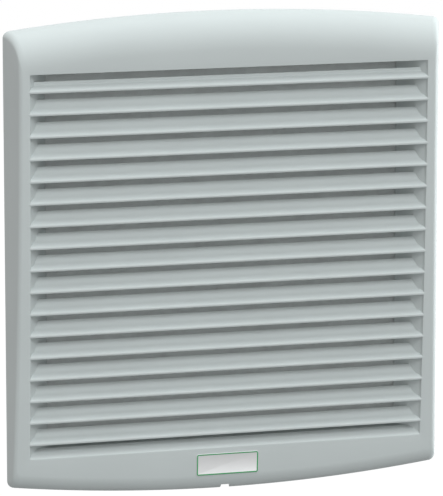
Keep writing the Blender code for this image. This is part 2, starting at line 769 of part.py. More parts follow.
def make_tray(finish):
    """Lattice tray that carries the filter mat, with a rim round the mat."""
    shape = lattice(lattice_edges(TRAY_HALF_WIDTH, TRAY_HOLES, TRAY_BAR),
                    lattice_edges(TRAY_HALF_HEIGHT, TRAY_HOLES, TRAY_BAR), TRAY_FRONT, TRAY_BACK)
    tray = solid("filter_support", shape, finish)
    outer = [(-TRAY_HALF_WIDTH, -TRAY_HALF_HEIGHT), (TRAY_HALF_WIDTH, -TRAY_HALF_HEIGHT),
             (TRAY_HALF_WIDTH, TRAY_HALF_HEIGHT), (-TRAY_HALF_WIDTH, TRAY_HALF_HEIGHT)]
    inner = [(x - TRAY_WALL * (1 if x > 0 else -1), z - TRAY_WALL * (1 if z > 0 else -1)) for x, z in outer]
    front = TRAY_FRONT - TRAY_RIM
    back = TRAY_FRONT + TRAY_FLOOR / 2
    rim = loft([along_y(inner, front), along_y(outer, front), along_y(outer, back), along_y(inner, back)], ring=True)
    fuse(tray, rim)
    return tray


def make_mat(finish):
    half_width = TRAY_HALF_WIDTH - TRAY_WALL - SEAT
    half_height = TRAY_HALF_HEIGHT - TRAY_WALL - SEAT
    outline = rounded_rectangle(half_width, half_height, -half_height, MAT_CORNER, 0.0, 1, 1)
    return solid("filter_mat", prism_y(outline, MAT_FRONT, MAT_FRONT + MAT_THICK), finish)


def make_claw(name, side, z, finish):
    """Sprung claw that grips behind the door sheet; its barrel lies at the inner end of its window."""
    axis = claw_axis(side)
    inner = axis - side * CLAW_WALL / 2
    outer = axis + side * CLAW_WALL / 2
    catch = side * (CUTOUT / 2 + CLAW_CATCH)
    barrel = circle(CLAW_BARREL, (axis, CLAW_ROOT_Y), PIN_STEPS)
    half = CLAW_WIDTH / 2
    ear_half = half + CLAW_EAR
    claw = solid(name, prism_z(barrel, z - ear_half, z + ear_half), finish, origin=(axis, CLAW_ROOT_Y, z))
    tip = SHEET + CLAW_SHEET_GAP
    leaf = [(inner, CLAW_ROOT_Y), (inner, tip), (catch, tip), (catch, tip + CLAW_LAND),
            (outer, CLAW_RAMP_END), (outer, CLAW_ROOT_Y)]
    fuse(claw, prism_z(leaf, z - half, z + half))
    return claw


def fan_outline(radius, height):
    """Round fan flange with flats at top and bottom."""
    outline = []
    for step in range(FAN_STEPS):
        angle = 2 * pi * step / FAN_STEPS
        reach = min(radius, height / 2 / max(abs(sin(angle)), 0.001))
        outline.append((reach * cos(angle), reach * sin(angle)))
    return outline


def on_rays(outline, radius):
    return [(radius * x / hypot(x, z), radius * z / hypot(x, z)) for x, z in outline]


def strut(angle):
    """Arm from the motor seat to the bore, seen along Y as a straight bar."""
    inner = SEAT_RADIUS - STRUT_WIDTH / 2
    outer = BORE_RADIUS + BARREL_WALL / 2
    half = STRUT_WIDTH / 2
    corners = [(inner, -half), (outer, -half * 0.7), (outer, half * 0.7), (inner, half)]
    turned_corners = [(x * cos(angle) - z * sin(angle), x * sin(angle) + z * cos(angle)) for x, z in corners]
    return prism_y(turned_corners, FAN_BACK - STRUT_DEPTH, FAN_BACK - STRUT_INSET)


def make_housing(finish):
    """Die-cast fan housing: two flanges, a flared bore, struts, motor seat and bearing tube."""
    flange = fan_outline(FAN_DIAMETER / 2, FAN_HEIGHT)
    barrel = on_rays(flange, BORE_RADIUS + BARREL_WALL)
    bell = on_rays(flange, BELL_RADIUS)
    bore = on_rays(flange, BORE_RADIUS)
    flare = FAN_FLANGE * 2
    loops = [along_y(flange, FAN_FRONT), along_y(flange, FAN_FRONT + FAN_FLANGE),
             along_y(barrel, FAN_FRONT + FAN_FLANGE + FAN_STEP), along_y(barrel, FAN_BACK - FAN_FLANGE - FAN_STEP),
             along_y(flange, FAN_BACK - FAN_FLANGE), along_y(flange, FAN_BACK),
             along_y(bell, FAN_BACK), along_y(bore, FAN_BACK - flare),
             along_y(bore, FAN_FRONT + flare), along_y(bell, FAN_FRONT)]
    housing = solid("fan_housing", loft(loops, ring=True), finish)
    seat_back = FAN_BACK - SEAT_INSET
    seat = turned([(TUBE_INNER, TUBE_FRONT), (TUBE_OUTER, TUBE_FRONT), (TUBE_OUTER, TUBE_BACK),
                   (SEAT_RADIUS, TUBE_BACK), (SEAT_RADIUS, seat_back), (TUBE_INNER, seat_back)])
    fuse(housing, *[strut(radians(45.0) + 2 * pi * step / STRUT_COUNT) for step in range(STRUT_COUNT)])
    fuse(housing, seat)
    holes = [prism_y(circle(SCREW_RADIUS + SEAT, place, HOLE_STEPS), FAN_FRONT - PAST, FAN_BACK + PAST)
             for place in screw_places()]
    cut(housing, together(*holes))
    soften(housing)
    return housing


def make_stator(finish):
    """Laminated core: a ring on the bearing tube with broad poles."""
    root = TUBE_OUTER + SEAT
    core = root + STATOR_CORE
    stator = solid("fan_stator", washer(root, core, STATOR_FRONT, STATOR_BACK), finish)
    for step in range(STATOR_POLES):
        middle = 2 * pi * step / STATOR_POLES
        spread = pi / STATOR_POLES * 0.8
        arc = [middle - spread + 2 * spread * k / 6 for k in range(7)]
        neck = radians(9.0)
        shoe = STATOR_RADIUS - STATOR_SHOE
        outline = [(STATOR_RADIUS * cos(a), STATOR_RADIUS * sin(a)) for a in arc]
        sunk = core - STATOR_CORE / 4
        for radius, angle in ((shoe, arc[-1]), (shoe, middle + neck), (sunk, middle + neck * 1.8),
                              (sunk, middle - neck * 1.8), (shoe, middle - neck), (shoe, arc[0])):
            outline.append((radius * cos(angle), radius * sin(angle)))
        fuse(stator, prism_y(outline, STATOR_FRONT, STATOR_BACK))
    return stator


def make_windings(finish):
    """Copper ring over the front ends of the poles."""
    inner = TUBE_OUTER + SEAT * 4
    outer = STATOR_RADIUS - WINDING_INSET
    y1 = STATOR_FRONT - SEAT
    y0 = y1 - WINDING_OVERHANG
    crown = WINDING_CROWN
    profile = [(inner + crown, y0), (outer - crown, y0), (outer, y0 + crown), (outer, y1), (inner, y1),
               (inner, y0 + crown)]
    return solid("fan_winding", turned(profile, steps=WIRE_STEPS), finish)


def make_shaft(finish):
    front = HUB_FRONT + HUB_WALL + SEAT
    end = TUBE_BACK + SHAFT_TAIL
    small = SHAFT_RADIUS - SHAFT_CHAMFER
    profile = [(small, front), (SHAFT_RADIUS, front + SHAFT_CHAMFER), (SHAFT_RADIUS, end - SHAFT_CHAMFER), (small, end)]
    return solid("fan_shaft", turned(profile, ring=False, steps=SMALL_STEPS), finish)


def make_bearing(name, y0, finish):
    inner = SHAFT_RADIUS + SEAT
    outer = TUBE_INNER - SEAT
    edge = BEARING_EDGE
    y1 = y0 + BEARING_WIDTH
    profile = [(inner, y0 + edge), (inner + edge, y0), (outer - edge, y0), (outer, y0 + edge), (outer, y1 - edge),
               (outer - edge, y1), (inner + edge, y1), (inner, y1 - edge)]
    return solid(name, turned(profile, steps=SMALL_STEPS), finish)


def blade_section(radius, share, turn):
    """Closed cambered section of a blade at a radius, wrapped on that radius."""
    angle = radians(BLADE_ROOT_ANGLE + (BLADE_TIP_ANGLE - BLADE_ROOT_ANGLE) * share)
    chord = BLADE_ROOT_CHORD + (BLADE_TIP_CHORD - BLADE_ROOT_CHORD) * share
    middle_y = (HUB_FRONT + HUB_REAR) / 2
    camber = chord * 0.07
    upper = []
    lower = []
    for step in range(BLADE_STEPS + 1):
        s = step / BLADE_STEPS
        along = (s - 0.5) * chord
        bow = camber * (1 - (2 * s - 1) ** 2)
        half_wall = BLADE_WALL / 2 * (0.35 + 0.65 * sin(pi * min(1.0, 0.12 + s * 0.88)))
        for side, points in ((1, upper), (-1, lower)):
            across = bow + side * half_wall
            round_way = along * cos(angle) - across * sin(angle)
            y = middle_y + along * sin(angle) + across * cos(angle)
            spot = turn + radians(BLADE_SWEEP_ANGLE) * share * share + round_way / radius
            points.append((radius * cos(spot), y, radius * sin(spot)))
    return upper + lower[::-1]


def make_impeller(finish):
    """Hub cap with its blades; the blades' roots are sunk into the hub's wall."""
    edge = HUB_EDGE
    inside = HUB_RADIUS - HUB_WALL
    floor = HUB_FRONT + HUB_WALL
    bore = SHAFT_RADIUS + SEAT
    boss = bore + BOSS_WALL
    boss_end = TUBE_FRONT - BOSS_GAP
    profile = [(HUB_RADIUS - edge, HUB_FRONT), (HUB_RADIUS - edge * 0.3, HUB_FRONT + edge * 0.3),
               (HUB_RADIUS, HUB_FRONT + edge), (HUB_RADIUS, HUB_REAR), (inside, HUB_REAR), (inside, floor),
               (boss, floor), (boss, boss_end), (bore, boss_end), (bore, floor)]
    impeller = solid("fan_impeller", turned(profile, ring=False, steps=HUB_STEPS), finish)
    root = HUB_RADIUS - HUB_WALL * 0.6
    tip = BORE_RADIUS - BLADE_CLEARANCE
    for blade in range(BLADE_COUNT):
        turn = 2 * pi * blade / BLADE_COUNT
        shares = [span / BLADE_SPANS for span in range(BLADE_SPANS + 1)]
        sections = [blade_section(root + (tip - root) * share, share, turn) for share in shares]
        fuse(impeller, loft(sections))
    soften(impeller)
    return impeller


def make_magnet(finish):
    shape = washer(MAGNET_INNER, MAGNET_OUTER, STATOR_FRONT - MAGNET_LAP, STATOR_BACK + MAGNET_LAP, steps=HUB_STEPS)
    return solid("rotor_ring", shape, finish)


def wire_ring(radius, y):
    profile = circle(GUARD_WIRE, (radius, y), WIRE_SIDES, pi / WIRE_SIDES)
    return turned(profile, steps=WIRE_STEPS)


def wire_spoke(place, y):
    """Straight wire from the innermost ring to a screw eyelet."""
    length = hypot(*place)
    way = (place[0] / length, place[1] / length)
    side = (-way[1], way[0])
    start = GUARD_INNER_RING - GUARD_WIRE
    stop = length - EYELET_OUTER + GUARD_WIRE
    loops = []
    for reach in (start, stop):
        loops.append([(way[0] * reach + side[0] * GUARD_WIRE * cos(a), y + GUARD_WIRE * sin(a),
                       way[1] * reach + side[1] * GUARD_WIRE * cos(a))
                      for a in [2 * pi * k / 6 for k in range(6)]])
    return loft(loops)


def make_guard(finish):
    """Wire guard: rings welded on spokes that end in flat eyelets under the screw heads."""
    spoke_y = GUARD_FRONT + GUARD_WIRE
    ring_y = spoke_y + GUARD_WIRE * 1.4
    places = screw_places()
    eyelets = [washer(SCREW_RADIUS + SEAT, EYELET_OUTER, GUARD_FRONT, GUARD_FRONT + GUARD_WIRE * 2, place, HOLE_STEPS)
               for place in places]
    radii = [GUARD_INNER_RING + (GUARD_OUTER_RING - GUARD_INNER_RING) * k / (GUARD_RINGS - 1)
             for k in range(GUARD_RINGS)]
    guard = solid("finger_guard", wire_ring(radii[0], ring_y), finish)
    fuse(guard, together(*[wire_spoke(place, spoke_y) for place in places]))
    fuse(guard, together(*[wire_ring(radius, ring_y) for radius in radii[1:]]))
    fuse(guard, together(*eyelets))
    soften(guard)
    return guard


def make_screw(name, place, finish):
    """Long pan-head screw through the guard, both fan flanges and the fan plate."""
    head = GUARD_FRONT + GUARD_WIRE * 2 + SEAT
    nut_front = PLATE_FRONT - PLATE_PAD - SEAT - NUT_HEIGHT
    tail = nut_front - SCREW_TAIL
    profile = [(SCREW_RADIUS - SCREW_CHAMFER, tail), (SCREW_RADIUS, tail + SCREW_CHAMFER), (SCREW_RADIUS, head),
               (SCREW_HEAD_RADIUS, head), (SCREW_HEAD_RADIUS, head + SCREW_HEAD_HEIGHT * 0.6),
               (SCREW_HEAD_RADIUS * 0.7, head + SCREW_HEAD_HEIGHT)]
    screw = solid(name, turned(profile, place, ring=False, steps=HOLE_STEPS), finish)
    slot_half = SCREW_HEAD_RADIUS * 0.5
    deep = head + SCREW_HEAD_HEIGHT * 0.45
    for half_x, half_z in ((slot_half, SCREW_SLOT), (SCREW_SLOT, slot_half)):
        cut(screw, box(place[0] - half_x, place[0] + half_x, deep, head + SCREW_HEAD_HEIGHT + PAST,
                       place[1] - half_z, place[1] + half_z))
    return screw


def make_nut(name, place, finish):
    back = PLATE_FRONT - PLATE_PAD - SEAT
    hexagon = circle(NUT_FLATS / 2 / cos(pi / 6), place, 6, pi / 6)
    nut = solid(name, prism_y(hexagon, back - NUT_HEIGHT, back), finish)
    cut(nut, prism_y(circle(SCREW_RADIUS + SEAT, place, HOLE_STEPS), back - NUT_HEIGHT - PAST, back + PAST))
    return nut


def make_terminal(finish):
    """Terminal block on the fan plate with two wire funnels and two clamp screws' pockets."""
    x0 = TERMINAL_X - TERMINAL_WIDTH / 2
    z0 = TERMINAL_Z - TERMINAL_HEIGHT / 2
    y0 = PLATE_BACK + SEAT
    y1 = y0 + TERMINAL_DEPTH
    block = solid("terminal_block", box(x0, x0 + TERMINAL_WIDTH, y0, y1, z0, z0 + TERMINAL_HEIGHT), finish)
    for x in terminal_wells():
        cut(block, prism_y(circle(TERMINAL_SCREW + SEAT, (x, TERMINAL_Z), HOLE_STEPS), y1 - TERMINAL_WELL, y1 + PAST))
        front = y0 + TERMINAL_ENTRY_FRONT
        cut(block, box(x - TERMINAL_ENTRY_HALF, x + TERMINAL_ENTRY_HALF, front, front + TERMINAL_ENTRY_DEPTH,
                       z0 - PAST, z0 + TERMINAL_ENTRY_RISE))
    return block


def terminal_wells():
    return (TERMINAL_X - TERMINAL_WIDTH / 4, TERMINAL_X + TERMINAL_WIDTH / 4)


def make_terminal_screw(name, x, finish):
    y1 = PLATE_BACK + SEAT + TERMINAL_DEPTH
    deep = y1 - TERMINAL_WELL + SEAT
    top = deep + TERMINAL_SCREW_LENGTH
    screw = solid(name, prism_y(circle(TERMINAL_SCREW, (x, TERMINAL_Z), HOLE_STEPS), deep, top), finish)
    cut(screw, box(x - TERMINAL_SCREW - PAST, x + TERMINAL_SCREW + PAST, top - TERMINAL_SCREW / 2, top + PAST,
                   TERMINAL_Z - TERMINAL_SLOT, TERMINAL_Z + TERMINAL_SLOT))
    return screw


def main():
    for leftover in list(bpy.data.objects):
        bpy.data.objects.remove(leftover)

    cover_plastic = material("cover_plastic", (0.62, 0.66, 0.66), 0.45)
    frame_plastic = material("frame_plastic", (0.60, 0.64, 0.64), 0.5)
    foam = material("foam", (0.03, 0.03, 0.03), 0.95)
    fleece = material("fleece", (0.75, 0.76, 0.74), 1.0)
    die_cast = material("die_cast", (0.03, 0.03, 0.032), 0.5, 0.3)
    steel = material("steel", (0.6, 0.6, 0.6), 0.35, 1.0)
    zinc = material("zinc", (0.62, 0.63, 0.65), 0.4, 1.0)
    copper = material("copper", (0.72, 0.35, 0.18), 0.4, 1.0)
    core_steel = material("core_steel", (0.35, 0.35, 0.36), 0.5, 1.0)
    black_plastic = material("black_plastic", (0.025, 0.025, 0.025), 0.5)
    ferrite = material("ferrite", (0.09, 0.085, 0.08), 0.8)
    terminal_plastic = material("terminal_plastic", (0.7, 0.7, 0.66), 0.5)

    pieces = [make_cover(cover_plastic), make_base(frame_plastic), make_gasket(foam), make_tray(frame_plastic),
              make_mat(fleece)]
    for side, side_name in ((-1, "left"), (1, "right")):
        for level, level_name in ((-1, "lower"), (1, "upper")):
            pieces.append(make_claw(f"claw_{side_name}_{level_name}", side, level * CLAW_Z, frame_plastic))
    pieces += [make_housing(die_cast), make_stator(core_steel), make_windings(copper), make_shaft(steel)]
    pieces.append(make_bearing("bearing_front", TUBE_FRONT, steel))
    pieces.append(make_bearing("bearing_rear", TUBE_BACK - BEARING_WIDTH, steel))
    pieces += [make_impeller(black_plastic), make_magnet(ferrite), make_guard(steel)]
    for index, place in enumerate(screw_places()):
        pieces.append(make_screw(f"fan_screw_{index + 1}", place, zinc))
        pieces.append(make_nut(f"fan_nut_{index + 1}", place, zinc))
    pieces.append(make_terminal(terminal_plastic))
    for index, x in enumerate(terminal_wells()):
        pieces.append(make_terminal_screw(f"terminal_screw_{index + 1}", x, zinc))

    assembly = bpy.data.objects.new("filter_fan", None)
    bpy.context.scene.collection.objects.link(assembly)
    for piece in pieces:
        piece.parent = assembly


main()
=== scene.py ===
"""Looks of a cabinet filter fan: finishes, fine geometry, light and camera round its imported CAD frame.

Sizes are in metres. X runs to the right seen from the front, Y into the cabinet and Z up.
The origin is the centre of the door cut-out, on the door's outer face.
"""

import random
from math import atan, cos, hypot, pi, radians, sin, sqrt

import bmesh
import bpy
from bpy.props import FloatProperty, FloatVectorProperty, IntProperty, PointerProperty
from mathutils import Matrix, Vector, noise


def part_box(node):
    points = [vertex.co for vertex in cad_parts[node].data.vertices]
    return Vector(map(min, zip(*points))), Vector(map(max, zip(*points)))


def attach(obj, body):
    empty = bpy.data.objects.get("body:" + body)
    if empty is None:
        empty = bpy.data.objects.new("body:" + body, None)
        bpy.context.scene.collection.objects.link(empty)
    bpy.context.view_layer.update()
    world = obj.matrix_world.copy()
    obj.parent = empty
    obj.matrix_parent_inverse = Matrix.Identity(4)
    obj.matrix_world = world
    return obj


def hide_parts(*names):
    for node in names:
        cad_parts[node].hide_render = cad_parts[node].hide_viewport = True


bl_info = {
    "name": "Cabinet filter fan",
    "version": (1, 0, 0),
    "blender": (4, 5, 0),
    "location": "View3D > Sidebar > Filter fan",
    "description": "Dresses the CAD frame of a cabinet filter fan",
    "category": "Object",
}

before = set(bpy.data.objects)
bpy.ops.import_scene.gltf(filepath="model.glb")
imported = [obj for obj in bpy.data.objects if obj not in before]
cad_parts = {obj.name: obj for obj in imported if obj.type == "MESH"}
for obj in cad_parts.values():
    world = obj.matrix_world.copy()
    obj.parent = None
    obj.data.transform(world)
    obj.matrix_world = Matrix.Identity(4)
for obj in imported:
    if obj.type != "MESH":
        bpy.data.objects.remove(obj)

# Clearance between pieces that seat on each other
SEAT = 0.0003


def length(name, default, description):
    """Property for a size in metres."""
    return FloatProperty(name=name, description=description, default=default, min=0.0, precision=5,
                         unit="LENGTH", subtype="DISTANCE")


def paint(name, default, description):
    """Property for a colour."""
    return FloatVectorProperty(name=name, description=description, default=default, min=0.0, max=1.0,
                               size=3, subtype="COLOR")


def share(name, default, description):
    """Property for a factor between 0 and 1."""
    return FloatProperty(name=name, description=description, default=default, min=0.0, max=1.0,
                         subtype="FACTOR")


def number(name, default, description):
    """Property for a plain number."""
    return FloatProperty(name=name, description=description, default=default, min=0.0)


def tally(name, default, description):
    """Property for a number of like things."""
    return IntProperty(name=name, description=description, default=default, min=2)


def slant(name, default, description):
    """Property for an angle, whose default is given in degrees."""
    return FloatProperty(name=name, description=description, default=radians(default), min=0.0,
                         unit="ROTATION", subtype="ANGLE")


class CoverSizes(bpy.types.PropertyGroup):
    """Sizes of the louvred cover"""

    half_width: length("Half width", 0.124, "Half of the cover's width")
    top: length("Top", 0.134, "Height of the arched top edge's middle above the cut-out's centre")
    arch: length("Edge arch", 0.008, "How far the top and bottom edges bulge at the middle")
    corner: length("Corner", 0.004, "Radius of the four corners seen from the front")
    wall: length("Wall", 0.002, "Wall of the cover's skin")
    back: length("Back", 0.0025, "Gap between the door and the cover's back edge")
    depth: length("Depth", 0.01574, "Depth of the cover where the bowed front stands out most")
    bow_radius: length("Bow radius", 3.43, "Radius of the bowed front")
    bow_drop: length("Bow drop", 0.005, "Distance of the bow's foremost line below the top edge")
    top_round: length("Top rounding", 0.0205, "Height of the rounded top edge")
    bottom_round: length("Bottom rounding", 0.0088, "Height of the rounded bottom edge")
    inner_top_round: length("Inner top rounding", 0.016, "Height of the rounded top edge inside the cover")
    inner_bottom_round: length("Inner bottom rounding", 0.0075,
                               "Height of the rounded bottom edge inside the cover")
    side_round: length("Side rounding", 0.0018, "Radius along the side edges")
    side_draft: share("Side draft", 0.38, "Slope of the side walls")
    window_border: length("Window border", 0.01145, "Width of the border beside the louvres")
    header_border: length("Header", 0.0301, "Height of the border above the louvres")
    sill_border: length("Sill", 0.0246, "Height of the border below the louvres")
    edge_round: length("Edge rounding", 0.0005, "Radius along the window's edge")
    header_rise: length("Header rise", 0.005, "Rise of the window's upper wall towards the back")
    sill_rise: length("Sill rise", 0.0046, "Rise of the window's lower wall towards the back")
    funnel_depth: length("Funnel depth", 0.0057, "Depth of the window's slanted walls")
    funnel_wall: length("Funnel wall", 0.0015, "Wall of the window's funnel")
    window_step: length("Window step", 0.0011, "Depth of the window's straight edge before its walls slant")
    window_blend: length("Window blend", 0.0011, "Half of the depth over which the straight edge turns")
    window_slope: number("Window slope", 1.05, "Slope of the window's slanted side walls")
    window_corner: length("Window corner", 0.0006, "Radius of the window's corners")
    collar_end: length("Collar end", 0.0005, "Reach of the window's collar behind the door's face")
    collar_half_width: length("Collar half width", 0.1003, "Half of the collar's width at its end")
    collar_top: length("Collar top", 0.1060, "Height of the collar's upper wall at its end")
    collar_bottom: length("Collar bottom", 0.1044, "Distance of the collar's lower wall below the centre")
    collar_wall: length("Collar wall", 0.0012, "Wall of the collar that keeps the filter mat in its tray")
    slat_count: tally("Slats", 17, "Number of slats")
    first_drop: length("First slat", 0.00996, "Distance of the first slat's lip below the header's lip")
    last_drop: length("Last slat", 0.0075, "Distance of the last slat's lip above the sill's lip")
    slat_gap: length("Slat gap", 0.00404, "Open height between two slats")
    slat_depth: length("Slat depth", 0.0057, "Depth of a slat behind the front")
    slat_wall: length("Slat wall", 0.0016, "Wall of a slat")
    lip_round: length("Lip rounding", 0.00035, "Radius along a slat's lip")
    notch_width: length("Notch width", 0.0056, "Width of the opening notch in the bottom edge")
    notch_height: length("Notch height", 0.0024, "Height of the opening notch")
    catch_height: length("Catch height", 0.0012, "Height of the catches above the bottom wall")
    catch_depth: length("Catch depth", 0.001, "Depth of the catches")
    catch_reach: length("Catch reach", 0.007, "Distance of the catches' outer ends from the middle")
    badge_half_width: length("Badge half width", 0.0178, "Half of the badge plate's width")
    badge_half_height: length("Badge half height", 0.0062, "Half of the badge plate's height")
    badge_drop: length("Badge drop", 0.1190, "Distance of the badge plate below the cut-out's centre")
    badge_line: length("Badge line", 0.0007, "Width of the line round the badge plate")


class FanSizes(bpy.types.PropertyGroup):
    """Sizes of the axial fan"""

    front: length("Front", 0.0303, "Depth of the fan's front flange behind the door's outer face")
    deep: length("Depth", 0.051, "Depth of the fan")
    flange_radius: length("Flange radius", 0.086, "Radius of the fan's two flanges")
    flange_height: length("Flange height", 0.150, "Height of the flanges between their flats")
    flange_wall: length("Flange wall", 0.004, "Wall of the flanges")
    bore_radius: length("Bore radius", 0.0705, "Inner radius of the fan housing")
    bell_radius: length("Bell radius", 0.0732, "Radius of the flared ends of the bore")
    bell_depth: length("Bell depth", 0.008, "Depth of the flared ends of the bore")
    barrel_wall: length("Barrel wall", 0.0026, "Wall between the bore and the outside")
    strut_width: length("Strut width", 0.007, "Width of a strut at the motor seat")
    strut_depth: length("Strut depth", 0.005, "Depth of the struts")
    seat_radius: length("Seat radius", 0.033, "Radius of the motor seat")
    tube_outer: length("Tube outside", 0.0096, "Outer radius of the bearing tube")
    tube_inner: length("Tube inside", 0.0078, "Inner radius of the bearing tube")
    tube_length: length("Tube length", 0.024, "Length of the bearing tube")
    hub_radius: length("Hub radius", 0.037, "Radius of the impeller's hub")
    hub_wall: length("Hub wall", 0.0022, "Wall of the impeller's hub")
    hub_edge: length("Hub edge", 0.003, "Rounding of the hub's front edge")
    hub_gap: length("Hub gap", 0.004, "Distance of the hub behind the housing's front")
    hub_rear_gap: length("Hub rear gap", 0.010, "Distance of the hub's end before the housing's back")
    blade_count: tally("Blades", 5, "Blades of the impeller")
    blade_wall: length("Blade wall", 0.002, "Thickness of a blade")
    blade_chord: length("Blade chord", 0.040, "Width of a blade at the hub")
    blade_spread: length("Blade spread", 0.018, "How much wider a blade is at its tip")
    blade_pitch: slant("Blade pitch", 48.0, "Angle of a blade at the hub")
    blade_twist: slant("Blade twist", 21.0, "How much flatter a blade is at its tip")
    blade_sweep: slant("Blade sweep", 16.0, "How far a blade's tip is swept round the axis")
    tip_gap: length("Tip gap", 0.0015, "Gap between the blades and the bore")
    wire: length("Guard wire", 0.0009, "Radius of the guard's wire")
    guard_rings: tally("Guard rings", 5, "Rings in the finger guard")
    inner_ring: length("Inner ring", 0.014, "Radius of the guard's innermost ring")
    outer_ring: length("Outer ring", 0.066, "Radius of the guard's outermost ring")
    eyelet: length("Eyelet", 0.0044, "Outer radius of the guard's eyelets")
    screw_radius: length("Screw radius", 0.002, "Radius of the fan screws")
    screw_circle: length("Screw circle", 0.081, "Radius on which the fan screws stand")
    screw_angle: slant("Screw angle", 20.0, "Angle of the fan screws above and below the middle")
    thread_length: length("Thread length", 0.022, "Length of the fan screws' thread")
    thread_pitch: length("Thread pitch", 0.0007, "Pitch of the fan screws' thread")
    head_radius: length("Head radius", 0.0036, "Radius of the screw heads")
    head_height: length("Head height", 0.0024, "Height of the screw heads")
    nut_flats: length("Nut", 0.007, "Width of the nuts across their flats")


class SoftSizes(bpy.types.PropertyGroup):
    """Sizes of the filter mat and the door gasket"""

    mat_edge: length("Mat edge", 0.0016, "Rounding along the filter mat's edges")
    fibre_count: tally("Fibres", 2600, "Number of stray fibres on the filter mat")
    fibre_radius: length("Fibre radius", 0.00006, "Radius of the stray fibres")
    gasket_width: length("Gasket width", 0.0048, "Width of the gasket's strip")
    gasket_corner: length("Gasket corner", 0.006, "Outer radius of the gasket's corners")


class Colours(bpy.types.PropertyGroup):
    """Colours of the finishes"""

    cover: paint("Cover", (0.545, 0.588, 0.584), "Light grey moulded plastic of the cover")
    base: paint("Frame", (0.53, 0.572, 0.568), "Light grey moulded plastic of the duct frame")
    foam: paint("Foam", (0.032, 0.033, 0.035), "Closed-cell gasket foam")
    fleece: paint("Fleece", (0.84, 0.87, 0.86), "Filter fleece")
    cast: paint("Casting", (0.022, 0.023, 0.025), "Black paint on the fan's casting")
    black: paint("Black plastic", (0.020, 0.020, 0.021), "Glass-filled plastic of the impeller")
    copper: paint("Copper", (0.70, 0.30, 0.13), "Enamelled winding wire")
    steel: paint("Steel", (0.56, 0.56, 0.56), "Ground steel")
    zinc: paint("Zinc", (0.60, 0.62, 0.65), "Zinc-plated fasteners")
    ferrite: paint("Ferrite", (0.055, 0.052, 0.050), "Magnet ring")
    terminal: paint("Terminal", (0.60, 0.59, 0.53), "Terminal block")
    badge: paint("Badge", (0.80, 0.80, 0.80), "Plain badge plate")
    badge_line: paint("Badge line", (0.02, 0.30, 0.09), "Frame line on the badge plate")


class StageSettings(bpy.types.PropertyGroup):
    """Light and camera"""

    ambient: number("Ambient", 0.62, "Strength of the surrounding light")
    ambient_tint: paint("Ambient tint", (1.0, 0.965, 0.96), "Colour of the surrounding light")
    lamp_tint: paint("Lamp tint", (0.92, 0.985, 1.0), "Colour of the lamps")
    key: number("Key light", 0.82, "Strength of the lamp above the front")
    fill: number("Fill light", 0.30, "Strength of the lamp before the front")
    high: number("High light", 0.84, "Strength of the lamp high above the front")
    top: number("Top light", 0.88, "Strength of the lamp overhead")
    rim: number("Rim light", 2.6, "Strength of the lamp on the right")
    floor_drop: length("Floor drop", 0.40, "Distance of the floor below the cut-out's centre")
    floor_glow: number("Floor glow", 1.26, "Strength of the floor's own light towards the camera")
    lens: number("Lens", 280.33, "Focal length in millimetres")
    camera_place: FloatVectorProperty(name="Camera place", description="Where the camera stands",
                                      default=(-0.5757, -2.0212, 0.3875), size=3, unit="LENGTH",
                                      subtype="TRANSLATION")
    camera_aim: FloatVectorProperty(name="Camera aim", description="Direction in which the camera looks",
                                    default=(0.2691, 0.9460, -0.1808), size=3, subtype="DIRECTION")


class Value:
    """One socket's value in a node tree; arithmetic on it adds Math nodes."""

    def __init__(self, tree, socket):
        self.tree = tree
        self.socket = socket

    def __add__(self, other):
        return self.tree.maths("ADD", self, other)

    def __radd__(self, other):
        return self.tree.maths("ADD", other, self)

    def __sub__(self, other):
        return self.tree.maths("SUBTRACT", self, other)

    def __rsub__(self, other):
        return self.tree.maths("SUBTRACT", other, self)

    def __mul__(self, other):
        return self.tree.maths("MULTIPLY", self, other)

    def __rmul__(self, other):
        return self.tree.maths("MULTIPLY", other, self)


